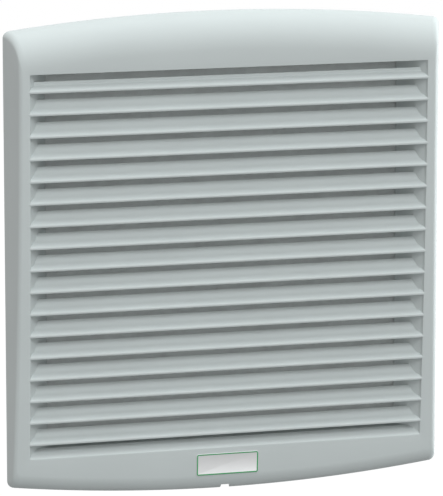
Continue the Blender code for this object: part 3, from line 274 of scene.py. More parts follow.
class Finish:
    """A material whose nodes are built one after another."""

    def __init__(self, name, tree=None):
        if tree is None:
            self.material = bpy.data.materials.new(name)
            self.material.use_nodes = True
            tree = self.material.node_tree
        self.tree = tree
        self.tree.nodes.clear()

    def node(self, kind, settings=None, sockets=None, output=0):
        """Add a node: settings first, then the values or links of its sockets."""
        made = self.tree.nodes.new(kind)
        for key, value in (settings or {}).items():
            setattr(made, key, value)
        for key, value in (sockets or {}).items():
            if isinstance(value, Value):
                self.tree.links.new(value.socket, made.inputs[key])
            else:
                made.inputs[key].default_value = value
        return Value(self, made.outputs[output]) if made.outputs else None

    def maths(self, operation, first, second):
        """Add a Math node."""
        return self.node("ShaderNodeMath", {"operation": operation}, {0: first, 1: second})

    def place(self, stretch=(1.0, 1.0, 1.0)):
        """Object coordinates in metres, scaled along each axis."""
        spot = self.node("ShaderNodeTexCoord", output="Object")
        return self.node("ShaderNodeMapping", {"vector_type": "POINT"}, {"Vector": spot, "Scale": stretch})

    def noise(self, size, detail=2.0, rough=0.5, distortion=0.0, stretch=(1.0, 1.0, 1.0)):
        """Noise from 0 to 1 whose features are about size metres across."""
        sockets = {"Vector": self.place(stretch), "Scale": 1.0 / size, "Detail": detail, "Roughness": rough,
                   "Distortion": distortion}
        return self.node("ShaderNodeTexNoise", None, sockets)

    def band(self, mask, low, high):
        """Stretch the part of mask between low and high to the whole range, clamped."""
        return self.node("ShaderNodeMapRange", {"clamp": True},
                         {"Value": mask, "From Min": low, "From Max": high})

    def blend(self, mask, first, second):
        """Mix two colours by mask."""
        return self.node("ShaderNodeMix", {"data_type": "RGBA"}, {0: mask, 6: first, 7: second}, output=2)

    def shades(self, mask, colour, dark, light):
        """Vary a colour by mask between a darker and a lighter tone of it."""
        return self.blend(mask, tone(colour, dark), tone(colour, light))

    def bump(self, height, distance, strength, under=None):
        """Relief of a height mask over a distance in metres, on top of the relief under it."""
        sockets = {"Height": height, "Distance": distance, "Strength": strength}
        if under is not None:
            sockets["Normal"] = under
        return self.node("ShaderNodeBump", None, sockets)

    def surface(self, base, roughness, normal, others=None):
        """Finish the material with a Principled shader."""
        sockets = {"Base Color": base, "Roughness": roughness, "Normal": normal, **(others or {})}
        shader = self.node("ShaderNodeBsdfPrincipled", None, sockets)
        self.node("ShaderNodeOutputMaterial", None, {"Surface": shader})
        return self.material


def tone(colour, factor):
    """Colour with its alpha, made lighter or darker by a factor."""
    return (*[min(1.0, channel * factor) for channel in colour], 1.0)


def moulded_plastic(name, colour, roughness):
    """Injection-moulded plastic: spark-eroded grain, faint cloudiness and uneven gloss."""
    finish = Finish(name)
    cloud = finish.noise(0.055, 3.0, 0.55)
    speck = finish.noise(0.0011, 2.0, 0.6)
    mix = finish.band(cloud, 0.25, 0.75)
    base = finish.shades(mix * 0.8 + speck * 0.2, colour, 0.975, 1.02)
    gloss = roughness - 0.05 + finish.noise(0.018, 4.0, 0.6) * 0.1
    grain = finish.noise(0.00035, 3.0, 0.65)
    ripple = finish.bump(finish.noise(0.03, 1.0), 0.00005, 0.25)
    normal = finish.bump(grain, 0.000012, 0.9, ripple)
    return finish.surface(base, gloss, normal, {"IOR": 1.5, "Specular IOR Level": 0.3})


def closed_cell_foam(name, colour):
    """Black gasket foam with its cells showing on the skin."""
    finish = Finish(name)
    cells = finish.node("ShaderNodeTexVoronoi", {"feature": "F1"},
                        {"Vector": finish.place(), "Scale": 1400.0})
    cloud = finish.noise(0.004, 3.0, 0.6)
    pits = finish.band(cells, 0.1, 0.6)
    base = finish.shades(pits, colour, 0.55, 1.5)
    normal = finish.bump(pits * 0.8 + cloud * 0.4, 0.00025, 0.9)
    return finish.surface(base, 0.86 + cloud * 0.12, normal, {"Specular IOR Level": 0.25})


def filter_fleece(name, colour):
    """Non-woven fleece: crossing fibres over a soft, cloudy batt."""
    finish = Finish(name)
    layers = []
    for stretch, twist in (((1.0, 0.4, 6.0), 2.2), ((5.0, 0.4, 1.2), 2.8), ((2.6, 0.4, 2.4), 5.0)):
        strands = finish.noise(0.0022, 3.0, 0.65, twist, stretch)
        ridge = finish.node("ShaderNodeMath", {"operation": "ABSOLUTE"}, {0: strands - 0.5})
        layers.append(1.0 - finish.band(ridge, 0.0, 0.055))
    fibres = finish.maths("MAXIMUM", layers[0], layers[1])
    fibres = finish.maths("MAXIMUM", fibres, layers[2] * 0.8)
    cloud = finish.noise(0.009, 4.0, 0.6)
    mask = fibres * 0.6 + finish.band(cloud, 0.3, 0.7) * 0.4
    base = finish.shades(mask, colour, 0.88, 1.06)
    normal = finish.bump(mask, 0.0004, 0.7)
    return finish.surface(base, 0.95, normal, {"Specular IOR Level": 0.15, "Sheen Weight": 0.15})


def painted_casting(name, colour):
    """Black paint with a faint orange peel over a slightly uneven die casting."""
    finish = Finish(name)
    cast = finish.noise(0.0014, 4.0, 0.6)
    orange_peel = finish.noise(0.0035, 2.0, 0.5)
    cloud = finish.noise(0.03, 3.0, 0.5)
    base = finish.shades(cloud, colour, 0.8, 1.35)
    normal = finish.bump(cast * 0.6 + orange_peel * 0.4, 0.00006, 0.8)
    return finish.surface(base, 0.36 + cloud * 0.16, normal,
                          {"Specular IOR Level": 0.5, "Coat Weight": 0.15, "Coat Roughness": 0.35})


def filled_plastic(name, colour):
    """Glass-filled black plastic with the faint flow lines of its fibres."""
    finish = Finish(name)
    flow = finish.noise(0.004, 3.0, 0.6, 0.8, (1.0, 3.0, 1.0))
    grain = finish.noise(0.0005, 3.0, 0.6)
    base = finish.shades(flow, colour, 0.75, 1.5)
    normal = finish.bump(grain * 0.7 + flow * 0.3, 0.00003, 0.8)
    return finish.surface(base, 0.40 + flow * 0.16, normal)


def bare_metal(name, colour, roughness, stretch, grain=0.0006):
    """Metal with tool marks drawn out along one axis and slight staining."""
    finish = Finish(name)
    marks = finish.noise(grain, 3.0, 0.65, 0.0, stretch)
    cloud = finish.noise(0.006, 4.0, 0.6)
    base = finish.shades(cloud, colour, 0.88, 1.06)
    normal = finish.bump(marks, 0.000006, 0.8)
    gloss = roughness - 0.06 + cloud * 0.08 + marks * 0.08
    return finish.surface(base, gloss, normal, {"Metallic": 1.0})


def laminated_core(name, colour):
    """Stack of stamped steel sheets, each half a millimetre thick."""
    finish = Finish(name)
    layers = finish.node("ShaderNodeTexWave", {"wave_type": "BANDS", "bands_direction": "Y"},
                         {"Vector": finish.place(), "Scale": 320.0, "Distortion": 0.3})
    rust = finish.noise(0.004, 4.0, 0.65)
    base = finish.shades(layers, colour, 0.45, 0.95)
    normal = finish.bump(layers, 0.00008, 0.7)
    return finish.surface(base, 0.38 + rust * 0.2, normal, {"Metallic": 1.0})


def copper_winding(name, colour):
    """Lacquered copper turns that lie round the winding's ring."""
    finish = Finish(name)
    rings = finish.node("ShaderNodeTexWave", {"wave_type": "RINGS", "rings_direction": "Y"},
                        {"Vector": finish.place(), "Scale": 420.0, "Distortion": 1.2, "Detail": 2.0})
    cloud = finish.noise(0.004, 3.0, 0.6)
    base = finish.shades(rings * 0.7 + cloud * 0.3, colour, 0.35, 1.05)
    normal = finish.bump(rings, 0.00015, 0.9)
    return finish.surface(base, 0.25 + cloud * 0.15, normal,
                          {"Metallic": 0.9, "Coat Weight": 0.5, "Coat Roughness": 0.2})


def sintered_ferrite(name, colour):
    """Dull grey-black magnet ring with the grain of its sintered powder."""
    finish = Finish(name)
    grain = finish.noise(0.0009, 4.0, 0.7)
    cloud = finish.noise(0.008, 2.0)
    base = finish.shades(grain * 0.6 + cloud * 0.4, colour, 0.7, 1.5)
    return finish.surface(base, 0.65 + grain * 0.2, finish.bump(grain, 0.00004, 0.8))


def printed_enamel(name, colour):
    """Smooth printed film with a faint lacquer ripple."""
    finish = Finish(name)
    cloud = finish.noise(0.006, 2.0)
    ripple = finish.noise(0.0012, 2.0)
    base = finish.shades(cloud, colour, 0.97, 1.02)
    return finish.surface(base, 0.26 + cloud * 0.08, finish.bump(ripple, 0.000008, 0.6))


def shade(thing, angle):
    """Shade an object smooth, except at edges that turn by more than an angle in degrees."""
    thing.data.shade_smooth()
    thing.data.set_sharp_from_angle(angle=radians(angle))


def piece(name, points, faces, finish=None, body=None, smooth=35.0):
    """Make an object, shade it smooth up to an angle, give it a finish and put it on a body."""
    mesh = bpy.data.meshes.new(name)
    mesh.from_pydata(points, [], faces)
    work = bmesh.new()
    work.from_mesh(mesh)
    bmesh.ops.recalc_face_normals(work, faces=work.faces)
    work.to_mesh(mesh)
    work.free()
    made = bpy.data.objects.new(name, mesh)
    bpy.context.scene.collection.objects.link(made)
    if finish:
        mesh.materials.append(finish)
    if smooth:
        shade(made, smooth)
    if body:
        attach(made, body)
    return made


def join(target, extra):
    """Move extra's mesh into target's and drop extra."""
    work = bmesh.new()
    work.from_mesh(target.data)
    work.from_mesh(extra.data)
    work.to_mesh(target.data)
    work.free()
    bpy.data.objects.remove(extra)


def take_away(target, shape):
    """Cut a closed shape out of an object."""
    tool = piece(target.name + "_tool", *shape, smooth=0.0)
    cut = target.modifiers.new("cut", "BOOLEAN")
    cut.operation = "DIFFERENCE"
    cut.solver = "EXACT"
    cut.use_self = True
    cut.object = tool
    weld = target.modifiers.new("weld", "WELD")
    weld.merge_threshold = 0.000002
    bpy.context.view_layer.update()
    view = bpy.context.evaluated_depsgraph_get()
    result = bpy.data.meshes.new_from_object(target.evaluated_get(view))
    target.modifiers.clear()
    target.data = result
    bpy.data.objects.remove(tool)


def dress(names, finish):
    """Give CAD nodes a finish in place of their packed one."""
    for name in names:
        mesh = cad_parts[name].data
        mesh.materials.clear()
        mesh.materials.append(finish)


def ease_edges(names, width):
    """Round the sharp edges of CAD nodes a little, as a mould leaves them."""
    for name in names:
        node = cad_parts[name]
        weld = node.modifiers.new("weld", "WELD")
        weld.merge_threshold = 0.00001
        edges = node.modifiers.new("edges", "BEVEL")
        edges.width = width
        edges.segments = 2
        edges.limit_method = "ANGLE"
        edges.angle_limit = radians(40.0)
        edges.harden_normals = True


def loft(loops, ring=False):
    """Bridge loops with equal counts by quads; ring joins the last to the first, or else caps close them."""
    count = len(loops[0])
    points = [point for loop in loops for point in loop]
    faces = []
    last = len(loops) if ring else len(loops) - 1
    for level in range(last):
        here = level * count
        there = ((level + 1) % len(loops)) * count
        for index in range(count):
            after = (index + 1) % count
            faces.append([here + index, here + after, there + after, there + index])
    if not ring:
        faces.append(list(range(count)))
        faces.append([(len(loops) - 1) * count + index for index in reversed(range(count))])
    return points, faces


def together(*shapes):
    """Put several shapes into one."""
    points = []
    faces = []
    for new_points, new_faces in shapes:
        start = len(points)
        points += list(new_points)
        faces += [[start + corner for corner in face] for face in new_faces]
    return points, faces


def along_x(profile, low, high):
    """Extrude a (y, z) profile along X."""
    return loft([[(x, y, z) for y, z in profile] for x in (low, high)])


def at_depth(outline, y):
    """Set an (x, z) outline at a depth."""
    return [(x, y, z) for x, z in outline]


def round_turn(steps):
    """Equal angles all the way round."""
    return [2 * pi * step / steps for step in range(steps)]


def circle(radius, centre, steps):
    """Points on a circle."""
    return [(centre[0] + radius * cos(a), centre[1] + radius * sin(a)) for a in round_turn(steps)]


def fillet(outline, radii, steps=4):
    """Round the corners of a closed (a, b) outline; radii gives each corner's radius, 0 to keep it."""
    rounded = []
    count = len(outline)
    for index, corner in enumerate(outline):
        radius = radii[index]
        if not radius:
            rounded.append(corner)
            continue
        here = Vector(corner)
        before = Vector(outline[index - 1]) - here
        after = Vector(outline[(index + 1) % count]) - here
        reach = min(radius, before.length * 0.49, after.length * 0.49)
        start = here + before.normalized() * reach
        stop = here + after.normalized() * reach
        for step in range(steps + 1):
            t = step / steps
            spot = start * (1 - t) * (1 - t) + here * 2 * t * (1 - t) + stop * t * t
            rounded.append((spot[0], spot[1]))
    return rounded


def arched_rectangle(half_width, top, bottom, corner, arch=0.0, sides=24, edges=48, corners=8):
    """Outline in X and Z whose top and bottom edges bulge by arch at the middle."""
    slope = 2 * arch / half_width
    lean = atan(slope * (half_width - corner) / half_width)
    reach = half_width - corner + corner * sin(lean)
    drop = arch * (reach / half_width) ** 2 + corner * cos(lean)
    centre = half_width - corner
    upper = top - drop
    lower = bottom + drop
    turns = [(pi / 2 - lean) * step / corners for step in range(corners)]
    back_turns = [(pi / 2 - lean) * (1 - step / corners) for step in range(corners)]
    outline = [(half_width, lower + (upper - lower) * step / sides) for step in range(sides)]
    outline += [(centre + corner * cos(a), upper + corner * sin(a)) for a in turns]
    across = [reach - 2 * reach * step / edges for step in range(edges)]
    outline += [(x, top - arch * (x / half_width) ** 2) for x in across]
    outline += [(-centre - corner * cos(a), upper + corner * sin(a)) for a in back_turns]
    outline += [(-half_width, upper + (lower - upper) * step / sides) for step in range(sides)]
    outline += [(-centre - corner * cos(a), lower - corner * sin(a)) for a in turns]
    outline += [(-x, bottom + arch * (x / half_width) ** 2) for x in across]
    outline += [(centre + corner * cos(a), lower - corner * sin(a)) for a in back_turns]
    return outline


def bow_depth(cover, z):
    """Depth of the bowed front from the cover's back edge at height z."""
    return cover.depth - (z - cover.top + cover.bow_drop) ** 2 / (2 * cover.bow_radius)


def front_y(cover, z, behind):
    """Depth of a place that lies behind the bowed front at height z."""
    return behind - cover.back - bow_depth(cover, z)


def skin_loop(cover, turn, wall):
    """One level of the cover's skin, from the back edge at 0 to the front at a right angle."""
    half_width = cover.half_width - wall
    top_round = cover.inner_top_round - wall if wall else cover.top_round
    bottom_round = cover.inner_bottom_round - wall if wall else cover.bottom_round
    top_inset = top_round * (1 - cos(turn))
    bottom_inset = bottom_round * (1 - cos(turn))
    edge_round = max(cover.side_round - wall, cover.edge_round)
    half = cover.top - wall
    loop = []
    for x, z in arched_rectangle(half_width, half, -half, cover.corner - wall / 2, cover.arch):
        inset = top_inset if z > 0.0 else bottom_inset
        z *= (half - inset) / half
        full = bow_depth(cover, z) - wall
        depth = full * sin(turn)
        past = max(0.0, depth - (full - edge_round)) / edge_round
        side_inset = cover.side_draft * depth + edge_round * (1 - sqrt(max(0.0, 1 - past * past)))
        loop.append((x * (half_width - side_inset) / half_width, -(cover.back + depth), z))
    return loop


def wall_inset(cover, behind):
    """How far the window's side walls have come in at a depth: straight at first, then slanted."""
    past = behind - cover.window_step
    blend = cover.window_blend
    if past < -blend:
        return 0.0
    if past > blend:
        return cover.window_slope * past
    return cover.window_slope * (past + blend) ** 2 / (4 * blend)


def window_loop(cover, behind, widen=0.0):
    """The louvre window's edge at a depth behind the front; widen moves it outward."""
    portion = behind / cover.funnel_depth
    half_width = cover.half_width - cover.window_border - wall_inset(cover, behind) + widen
    top = cover.top - cover.header_border + cover.header_rise * portion + widen
    bottom = -cover.top + cover.sill_border + cover.sill_rise * portion - widen
    outline = arched_rectangle(half_width, top, bottom, cover.window_corner)
    return [(x, front_y(cover, z, behind), z) for x, z in outline]


def collar_loop(cover, widen=0.0):
    """End of the collar that runs back from the window's walls to the filter mat."""
    outline = arched_rectangle(cover.collar_half_width + widen, cover.collar_top + widen,
                               -cover.collar_bottom - widen, cover.window_corner)
    return at_depth(outline, cover.collar_end)


def spline(points):
    """Smooth curve through 2D points, ends included."""
    steps = 5
    ends = [points[0], *points, points[-1]]
    curve = []
    for index in range(1, len(ends) - 2):
        a, b, c, d = (Vector(ends[index + k]) for k in (-1, 0, 1, 2))
        for step in range(steps):
            t = step / steps
            spot = 0.5 * (2 * b + (c - a) * t + (2 * a - 5 * b + 4 * c - d) * t * t
                          + (3 * b - a - 3 * c + d) * t ** 3)
            curve.append((spot[0], spot[1]))
    curve.append(tuple(points[-1]))
    return curve


def slat_profile(cover, height, full_height):
    """Slat section as (depth, rise) from its lip: an S-shaped face, a parallel back, rounded edges."""
    full_depth = cover.slat_depth
    depth = full_depth * height / full_height
    face = [(0.0, 0.0), (0.03 * full_depth, 0.18 * full_height), (0.60 * full_depth, 0.45 * full_height),
            (depth * 0.92, height * 0.88), (depth, height)]
    slope = atan(full_height / full_depth)
    behind = cover.slat_wall * sin(slope)
    below = cover.slat_wall * cos(slope)
    back = [(x + behind, z - below) for x, z in (face[4], face[2], face[1])]
    front = spline(face)
    outline = front + back + [(behind * 0.75, 0.0)]
    radii = [0.0] * len(outline)
    for corner in (0, len(front) - 1, len(front), -1):
        radii[corner] = cover.lip_round
    return fillet(outline, radii)


def slat(cover, lip, height, full_height):
    """One louvre slat across the window, its ends sunk into the window's slanted side walls."""
    half_width = cover.half_width - cover.window_border
    ends = []
    for side in (-1, 1):
        end = []
        for depth, rise in slat_profile(cover, height, full_height):
            within = min(depth, cover.funnel_depth)
            reach = half_width - wall_inset(cover, within) + cover.funnel_wall * 0.5
            end.append((side * reach, front_y(cover, lip, depth), lip + rise))
        ends.append(end)
    return loft(ends)


def hinge_parts(cover):
    """Ears and pins under the cover's top wall."""
    middles = (-0.028, 0.028)
    pin_drop = 0.0046
    pin_y = -0.0063
    pin_z = cover.top - pin_drop
    pin_radius = 0.0015
    half_pin = 0.004
    ear_rim = 0.0015
    ear_rise = 0.0023
    ear_wall = 0.0025
    reach = pin_radius + ear_rim
    top = pin_z + ear_rise
    ear = [(pin_y + reach * cos(pi + pi * k / 16), pin_z + reach * sin(pi + pi * k / 16)) for k in range(17)]
    ear += [(pin_y + reach * 0.85, top), (pin_y - reach * 0.55, top)]
    pin = circle(pin_radius, (pin_y, pin_z), 32)
    parts = []
    for middle in middles:
        low = middle - half_pin
        high = middle + half_pin
        parts.append(along_x(ear, low - ear_wall, low))
        parts.append(along_x(ear, high, high + ear_wall))
        parts.append(along_x(pin, low - ear_wall / 2, high + ear_wall / 2))
    return parts


def catch_parts(cover):
    """Two small catches beside the notch that snap past the frame's tabs."""
    back = -0.0028
    soft = 0.0002
    from_notch = 0.0006
    front = back - cover.catch_depth
    low = -cover.top + cover.wall * 0.8
    high = -cover.top + cover.wall + cover.catch_height
    profile = fillet([(front, low), (back, low), (back, high), (front, high)], [0.0, 0.0, soft, soft])
    near = cover.notch_width / 2 + from_notch
    far = cover.catch_reach
    return [along_x(profile, -far, -near), along_x(profile, near, far)]


class FAN_OT_cover(bpy.types.Operator):
    """Build the moulded louvred cover with its hinge ears, pins and catches"""

    bl_idname = "filter_fan.cover"
    bl_label = "Louvred cover"

    def execute(self, context):
        cover = context.scene.fan_cover
        loops = [skin_loop(cover, pi / 2 * step / 28, 0.0) for step in range(29)]
        edge = cover.edge_round
        for step in range(5):
            t = step / 4
            loops.append(window_loop(cover, edge * t * t, edge * (1 - t) * (1 - t)))
        slanted = cover.window_step + cover.window_blend
        for step in range(1, 6):
            loops.append(window_loop(cover, edge + (slanted - edge) * step / 5))
        depth = cover.funnel_depth
        wall = cover.funnel_wall
        loops += [window_loop(cover, depth), collar_loop(cover), collar_loop(cover, cover.collar_wall),
                  window_loop(cover, depth + wall * 0.4, wall * 0.9),
                  window_loop(cover, cover.wall, wall * 1.3)]
        loops += [skin_loop(cover, pi / 2 * (1 - step / 8), cover.wall) for step in range(9)]
        shell = piece("cover_shell", *loft(loops, ring=True), smooth=0.0)
        before = -0.03
        low = -cover.top - 0.01
        high = -cover.top + cover.notch_height
        notch = [(before, low), (0.0, low), (0.0, high), (before, high)]
        take_away(shell, along_x(notch, -cover.notch_width / 2, cover.notch_width / 2))

        first = cover.top - cover.header_border - cover.first_drop
        last = -cover.top + cover.sill_border + cover.last_drop
        pitch = (first - last) / (cover.slat_count - 1)
        full_height = pitch - cover.slat_gap
        slats = [slat(cover, first, cover.first_drop - cover.slat_gap, full_height)]
        slats += [slat(cover, first - pitch * index, full_height, full_height)
                  for index in range(1, cover.slat_count)]
        inner = together(*slats, *hinge_parts(cover), *catch_parts(cover))
        join(shell, piece("cover_slats", *inner, smooth=0.0))
        colours = context.scene.fan_colours
        shell.data.materials.append(moulded_plastic("cover_plastic_grey", colours.cover, 0.56))
        shade(shell, 32.0)
        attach(shell, "cover")
        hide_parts("front_cover")
        return {"FINISHED"}


class FAN_OT_badge(bpy.types.Operator):
    """Put the plain badge plate on the cover's lower border"""

    bl_idname = "filter_fan.badge"
    bl_label = "Badge plate"

    def execute(self, context):
        cover = context.scene.fan_cover
        colours = context.scene.fan_colours
        top = -cover.badge_drop + cover.badge_half_height
        bottom = -cover.badge_drop - cover.badge_half_height
        corner = 0.0012
        least_corner = 0.0003
        line = cover.badge_line
        levels = [(0.0, 0.0002), (0.0, -0.00035), (0.00012, -0.00045), (line, -0.00045),
                  (line + 0.0001, -0.00038)]
        loops = []
        for inset, behind in levels:
            outline = arched_rectangle(cover.badge_half_width - inset, top - inset, bottom + inset,
                                       max(corner - inset, least_corner), sides=4, edges=8, corners=6)
            loops.append([(x, front_y(cover, z, behind), z) for x, z in outline])
        plate = piece("badge_plate", *loft(loops), printed_enamel("badge_white", colours.badge), smooth=40.0)
        plate.data.materials.append(printed_enamel("badge_green", colours.badge_line))
        count = len(loops[0])
        for index, face in enumerate(plate.data.polygons):
            if 2 * count <= index < 4 * count:
                face.material_index = 1
        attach(plate, "cover")
        return {"FINISHED"}


class FAN_OT_duct(bpy.types.Operator):
    """Finish the duct frame, the filter support and the claws"""

    bl_idname = "filter_fan.duct"
    bl_label = "Duct frame"

    def execute(self, context):
        finish = moulded_plastic("frame_plastic_grey", context.scene.fan_colours.base, 0.52)
        mouldings = ["base_frame", "filter_support", "claw_left_lower", "claw_left_upper",
                     "claw_right_lower", "claw_right_upper"]
        dress(mouldings, finish)
        mould_edge = 0.00025
        ease_edges(mouldings, mould_edge)
        return {"FINISHED"}


def fleece_slab(low, high, edge):
    """Soft slab between two corners whose faces sink towards rounded edges and wave a little."""
    steps = 56
    sag = 0.0005
    middle = (low + high) / 2
    half = (high - low) / 2
    layers = []
    for side in (-1, 1):
        layer = []
        for j in range(steps + 1):
            for i in range(steps + 1):
                u = -1 + 2 * i / steps
                v = -1 + 2 * j / steps
                x = half.x * (u * 1.5 - u ** 3 * 0.5)
                z = half.z * (v * 1.5 - v ** 3 * 0.5)
                inside = min(half.x - abs(x), half.z - abs(z))
                sunk = max(0.0, 1 - inside / edge)
                thick = half.y * (0.35 + 0.65 * sqrt(max(0.0, 1 - sunk * sunk)))
                spot = Vector((x * 28, side * 3.0, z * 28))
                wave = noise.noise(spot) * 0.00012 + noise.noise(spot * 5.3) * 0.00010
                layer.append((middle.x + x, middle.y + side * (thick - sag + wave), middle.z + z))
        layers.append(layer)
    points = layers[0] + layers[1]
    row = steps + 1
    count = row * row
    faces = []
    for j in range(steps):
        for i in range(steps):
            a = j * row + i
            faces.append([a, a + 1, a + row + 1, a + row])
            faces.append([count + a, count + a + row, count + a + row + 1, count + a + 1])
    rim = list(range(row)) + [j * row + steps for j in range(1, row)]
    rim += [steps * row + i for i in reversed(range(steps))] + [j * row for j in reversed(range(1, steps))]
    for index, here in enumerate(rim):
        there = rim[(index + 1) % len(rim)]
        faces.append([there, here, count + here, count + there])
    return points, faces


def stray_fibres(low, high, face_y, count, radius, rng):
    """Thin curved fibres that lie on and stand off the fleece's face, as closed three-sided threads."""
    points = []
    faces = []
    steps = 6
    for _ in range(count):
        x = rng.uniform(low.x + 0.002, high.x - 0.002)
        z = rng.uniform(low.z + 0.002, high.z - 0.002)
        heading = rng.uniform(0.0, 2 * pi)
        turn = rng.uniform(-1.3, 1.3)
        reach = rng.uniform(0.003, 0.011)
        lift = rng.uniform(0.0001, 0.0007)
        start = len(points)
        for step in range(steps + 1):
            t = step / steps
            angle = heading + turn * t
            x = min(max(x + cos(angle) * reach / steps, low.x + 0.001), high.x - 0.001)
            z = min(max(z + sin(angle) * reach / steps, low.z + 0.001), high.z - 0.001)
            y = face_y - lift * sin(pi * t)
            side = (-sin(angle), cos(angle))
            points += [(x + side[0] * radius, y, z + side[1] * radius), (x, y - radius * 1.6, z),
                       (x - side[0] * radius, y, z - side[1] * radius)]
        for step in range(steps):
            a = start + step * 3
            faces += [[a, a + 1, a + 4, a + 3], [a + 1, a + 2, a + 5, a + 4], [a + 2, a, a + 3, a + 5]]
        last = start + steps * 3
        faces += [[start + 2, start + 1, start], [last, last + 1, last + 2]]
    return points, faces


class FAN_OT_filter(bpy.types.Operator):
    """Lay the fleece mat into its tray"""

    bl_idname = "filter_fan.filter"
    bl_label = "Filter mat"

    def execute(self, context):
        low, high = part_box("filter_mat")
        sizes = context.scene.fan_soft
        finish = filter_fleece("filter_fleece_white", context.scene.fan_colours.fleece)
        slab = fleece_slab(low, high, sizes.mat_edge)
        face_y = low.y + 0.0007
        seed = 7
        rng = random.Random(seed)
        fibres = stray_fibres(low, high, face_y, sizes.fibre_count, sizes.fibre_radius, rng)
        mat = piece("fleece_mat", *together(slab, fibres), finish, "frame", smooth=60.0)
        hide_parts("filter_mat")
        return {"FINISHED"}


class FAN_OT_gasket(bpy.types.Operator):
    """Lay the foam strip round the cut-out"""

    bl_idname = "filter_fan.gasket"
    bl_label = "Door gasket"

    def execute(self, context):
        low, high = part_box("door_gasket")
        sizes = context.scene.fan_soft
        half = sizes.gasket_width / 2
        half_way = (low.y + high.y) / 2
        soft = 0.0004
        least_corner = 0.001
        section = fillet([(-half, low.y), (half, low.y), (half, high.y), (-half, high.y)], [soft] * 4)
        loops = []
        for inset, y in section:
            reach = high.x - half + inset
            corner = max(sizes.gasket_corner - half + inset, least_corner)
            outline = arched_rectangle(reach, reach, -reach, corner, sides=40, edges=40)
            squash = soft * 0.35 * (y < half_way)
            loops.append([(x, y + squash * noise.noise(Vector((x * 90, y * 500, z * 90))), z)
                          for x, z in outline])
        gasket = piece("gasket_foam", *loft(loops, ring=True),
                       closed_cell_foam("gasket_foam_black", context.scene.fan_colours.foam), "frame")
        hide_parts("door_gasket")
        return {"FINISHED"}


def turned(profile, centre=(0.0, 0.0), ring=True, steps=128):
    """Turn an (r, y) profile about a line along Y through centre."""
    return loft([at_depth(circle(radius, centre, steps), y) for radius, y in profile], ring=ring)


def flat_sided(fan, reach, inset, y):
    """Loop of a given radius that stays inside the fan's flange, which has flats at its top and bottom."""
    steps = 192
    loop = []
    for step in range(steps):
        angle = 2 * pi * (step + 0.5) / steps
        edge = min(fan.flange_radius - inset, (fan.flange_height / 2 - inset) / max(abs(sin(angle)), 0.001))
        radius = min(reach, edge)
        loop.append((radius * cos(angle), y, radius * sin(angle)))
    return loop


def screw_places(fan):
    """X and Z of the four fan screws."""
    x = fan.screw_circle * cos(fan.screw_angle)
    z = fan.screw_circle * sin(fan.screw_angle)
    return [(side * x, level * z) for side in (-1, 1) for level in (-1, 1)]


def tube_ends(fan):
    """Depths of the bearing tube's front end and of its seat on the struts."""
    seat_wall = 0.001
    seat = fan.front + fan.deep - fan.strut_depth - seat_wall
    return seat - fan.tube_length, seat


def hub_ends(fan):
    """Depths of the hub's front and rear."""
    return fan.front + fan.hub_gap, fan.front + fan.deep - fan.hub_rear_gap


def strut_shape(fan, angle):
    """Rounded arm from the motor seat to the bore, swelling where it meets them."""
    sunk = 0.003
    set_back = 0.0006
    root_reach = 0.004
    swelling = 0.0012
    soft = 0.0011
    inner = fan.seat_radius - sunk
    outer = fan.bore_radius + fan.barrel_wall / 2
    back = fan.front + fan.deep - set_back
    front = fan.front + fan.deep - fan.strut_depth
    loops = []
    for step in range(25):
        t = step / 24
        radius = inner + (outer - inner) * t
        half = fan.strut_width / 2 * (1 - 0.3 * t)
        for away in (radius - fan.seat_radius, fan.bore_radius - radius):
            half += swelling * max(0.0, 1 - away / root_reach) ** 2
        section = fillet([(-half, front), (half, front), (half, back), (-half, back)], [soft] * 4, 5)
        loops.append([(radius * cos(angle) - side * sin(angle), y, radius * sin(angle) + side * cos(angle))
                      for side, y in section])
    return loft(loops)


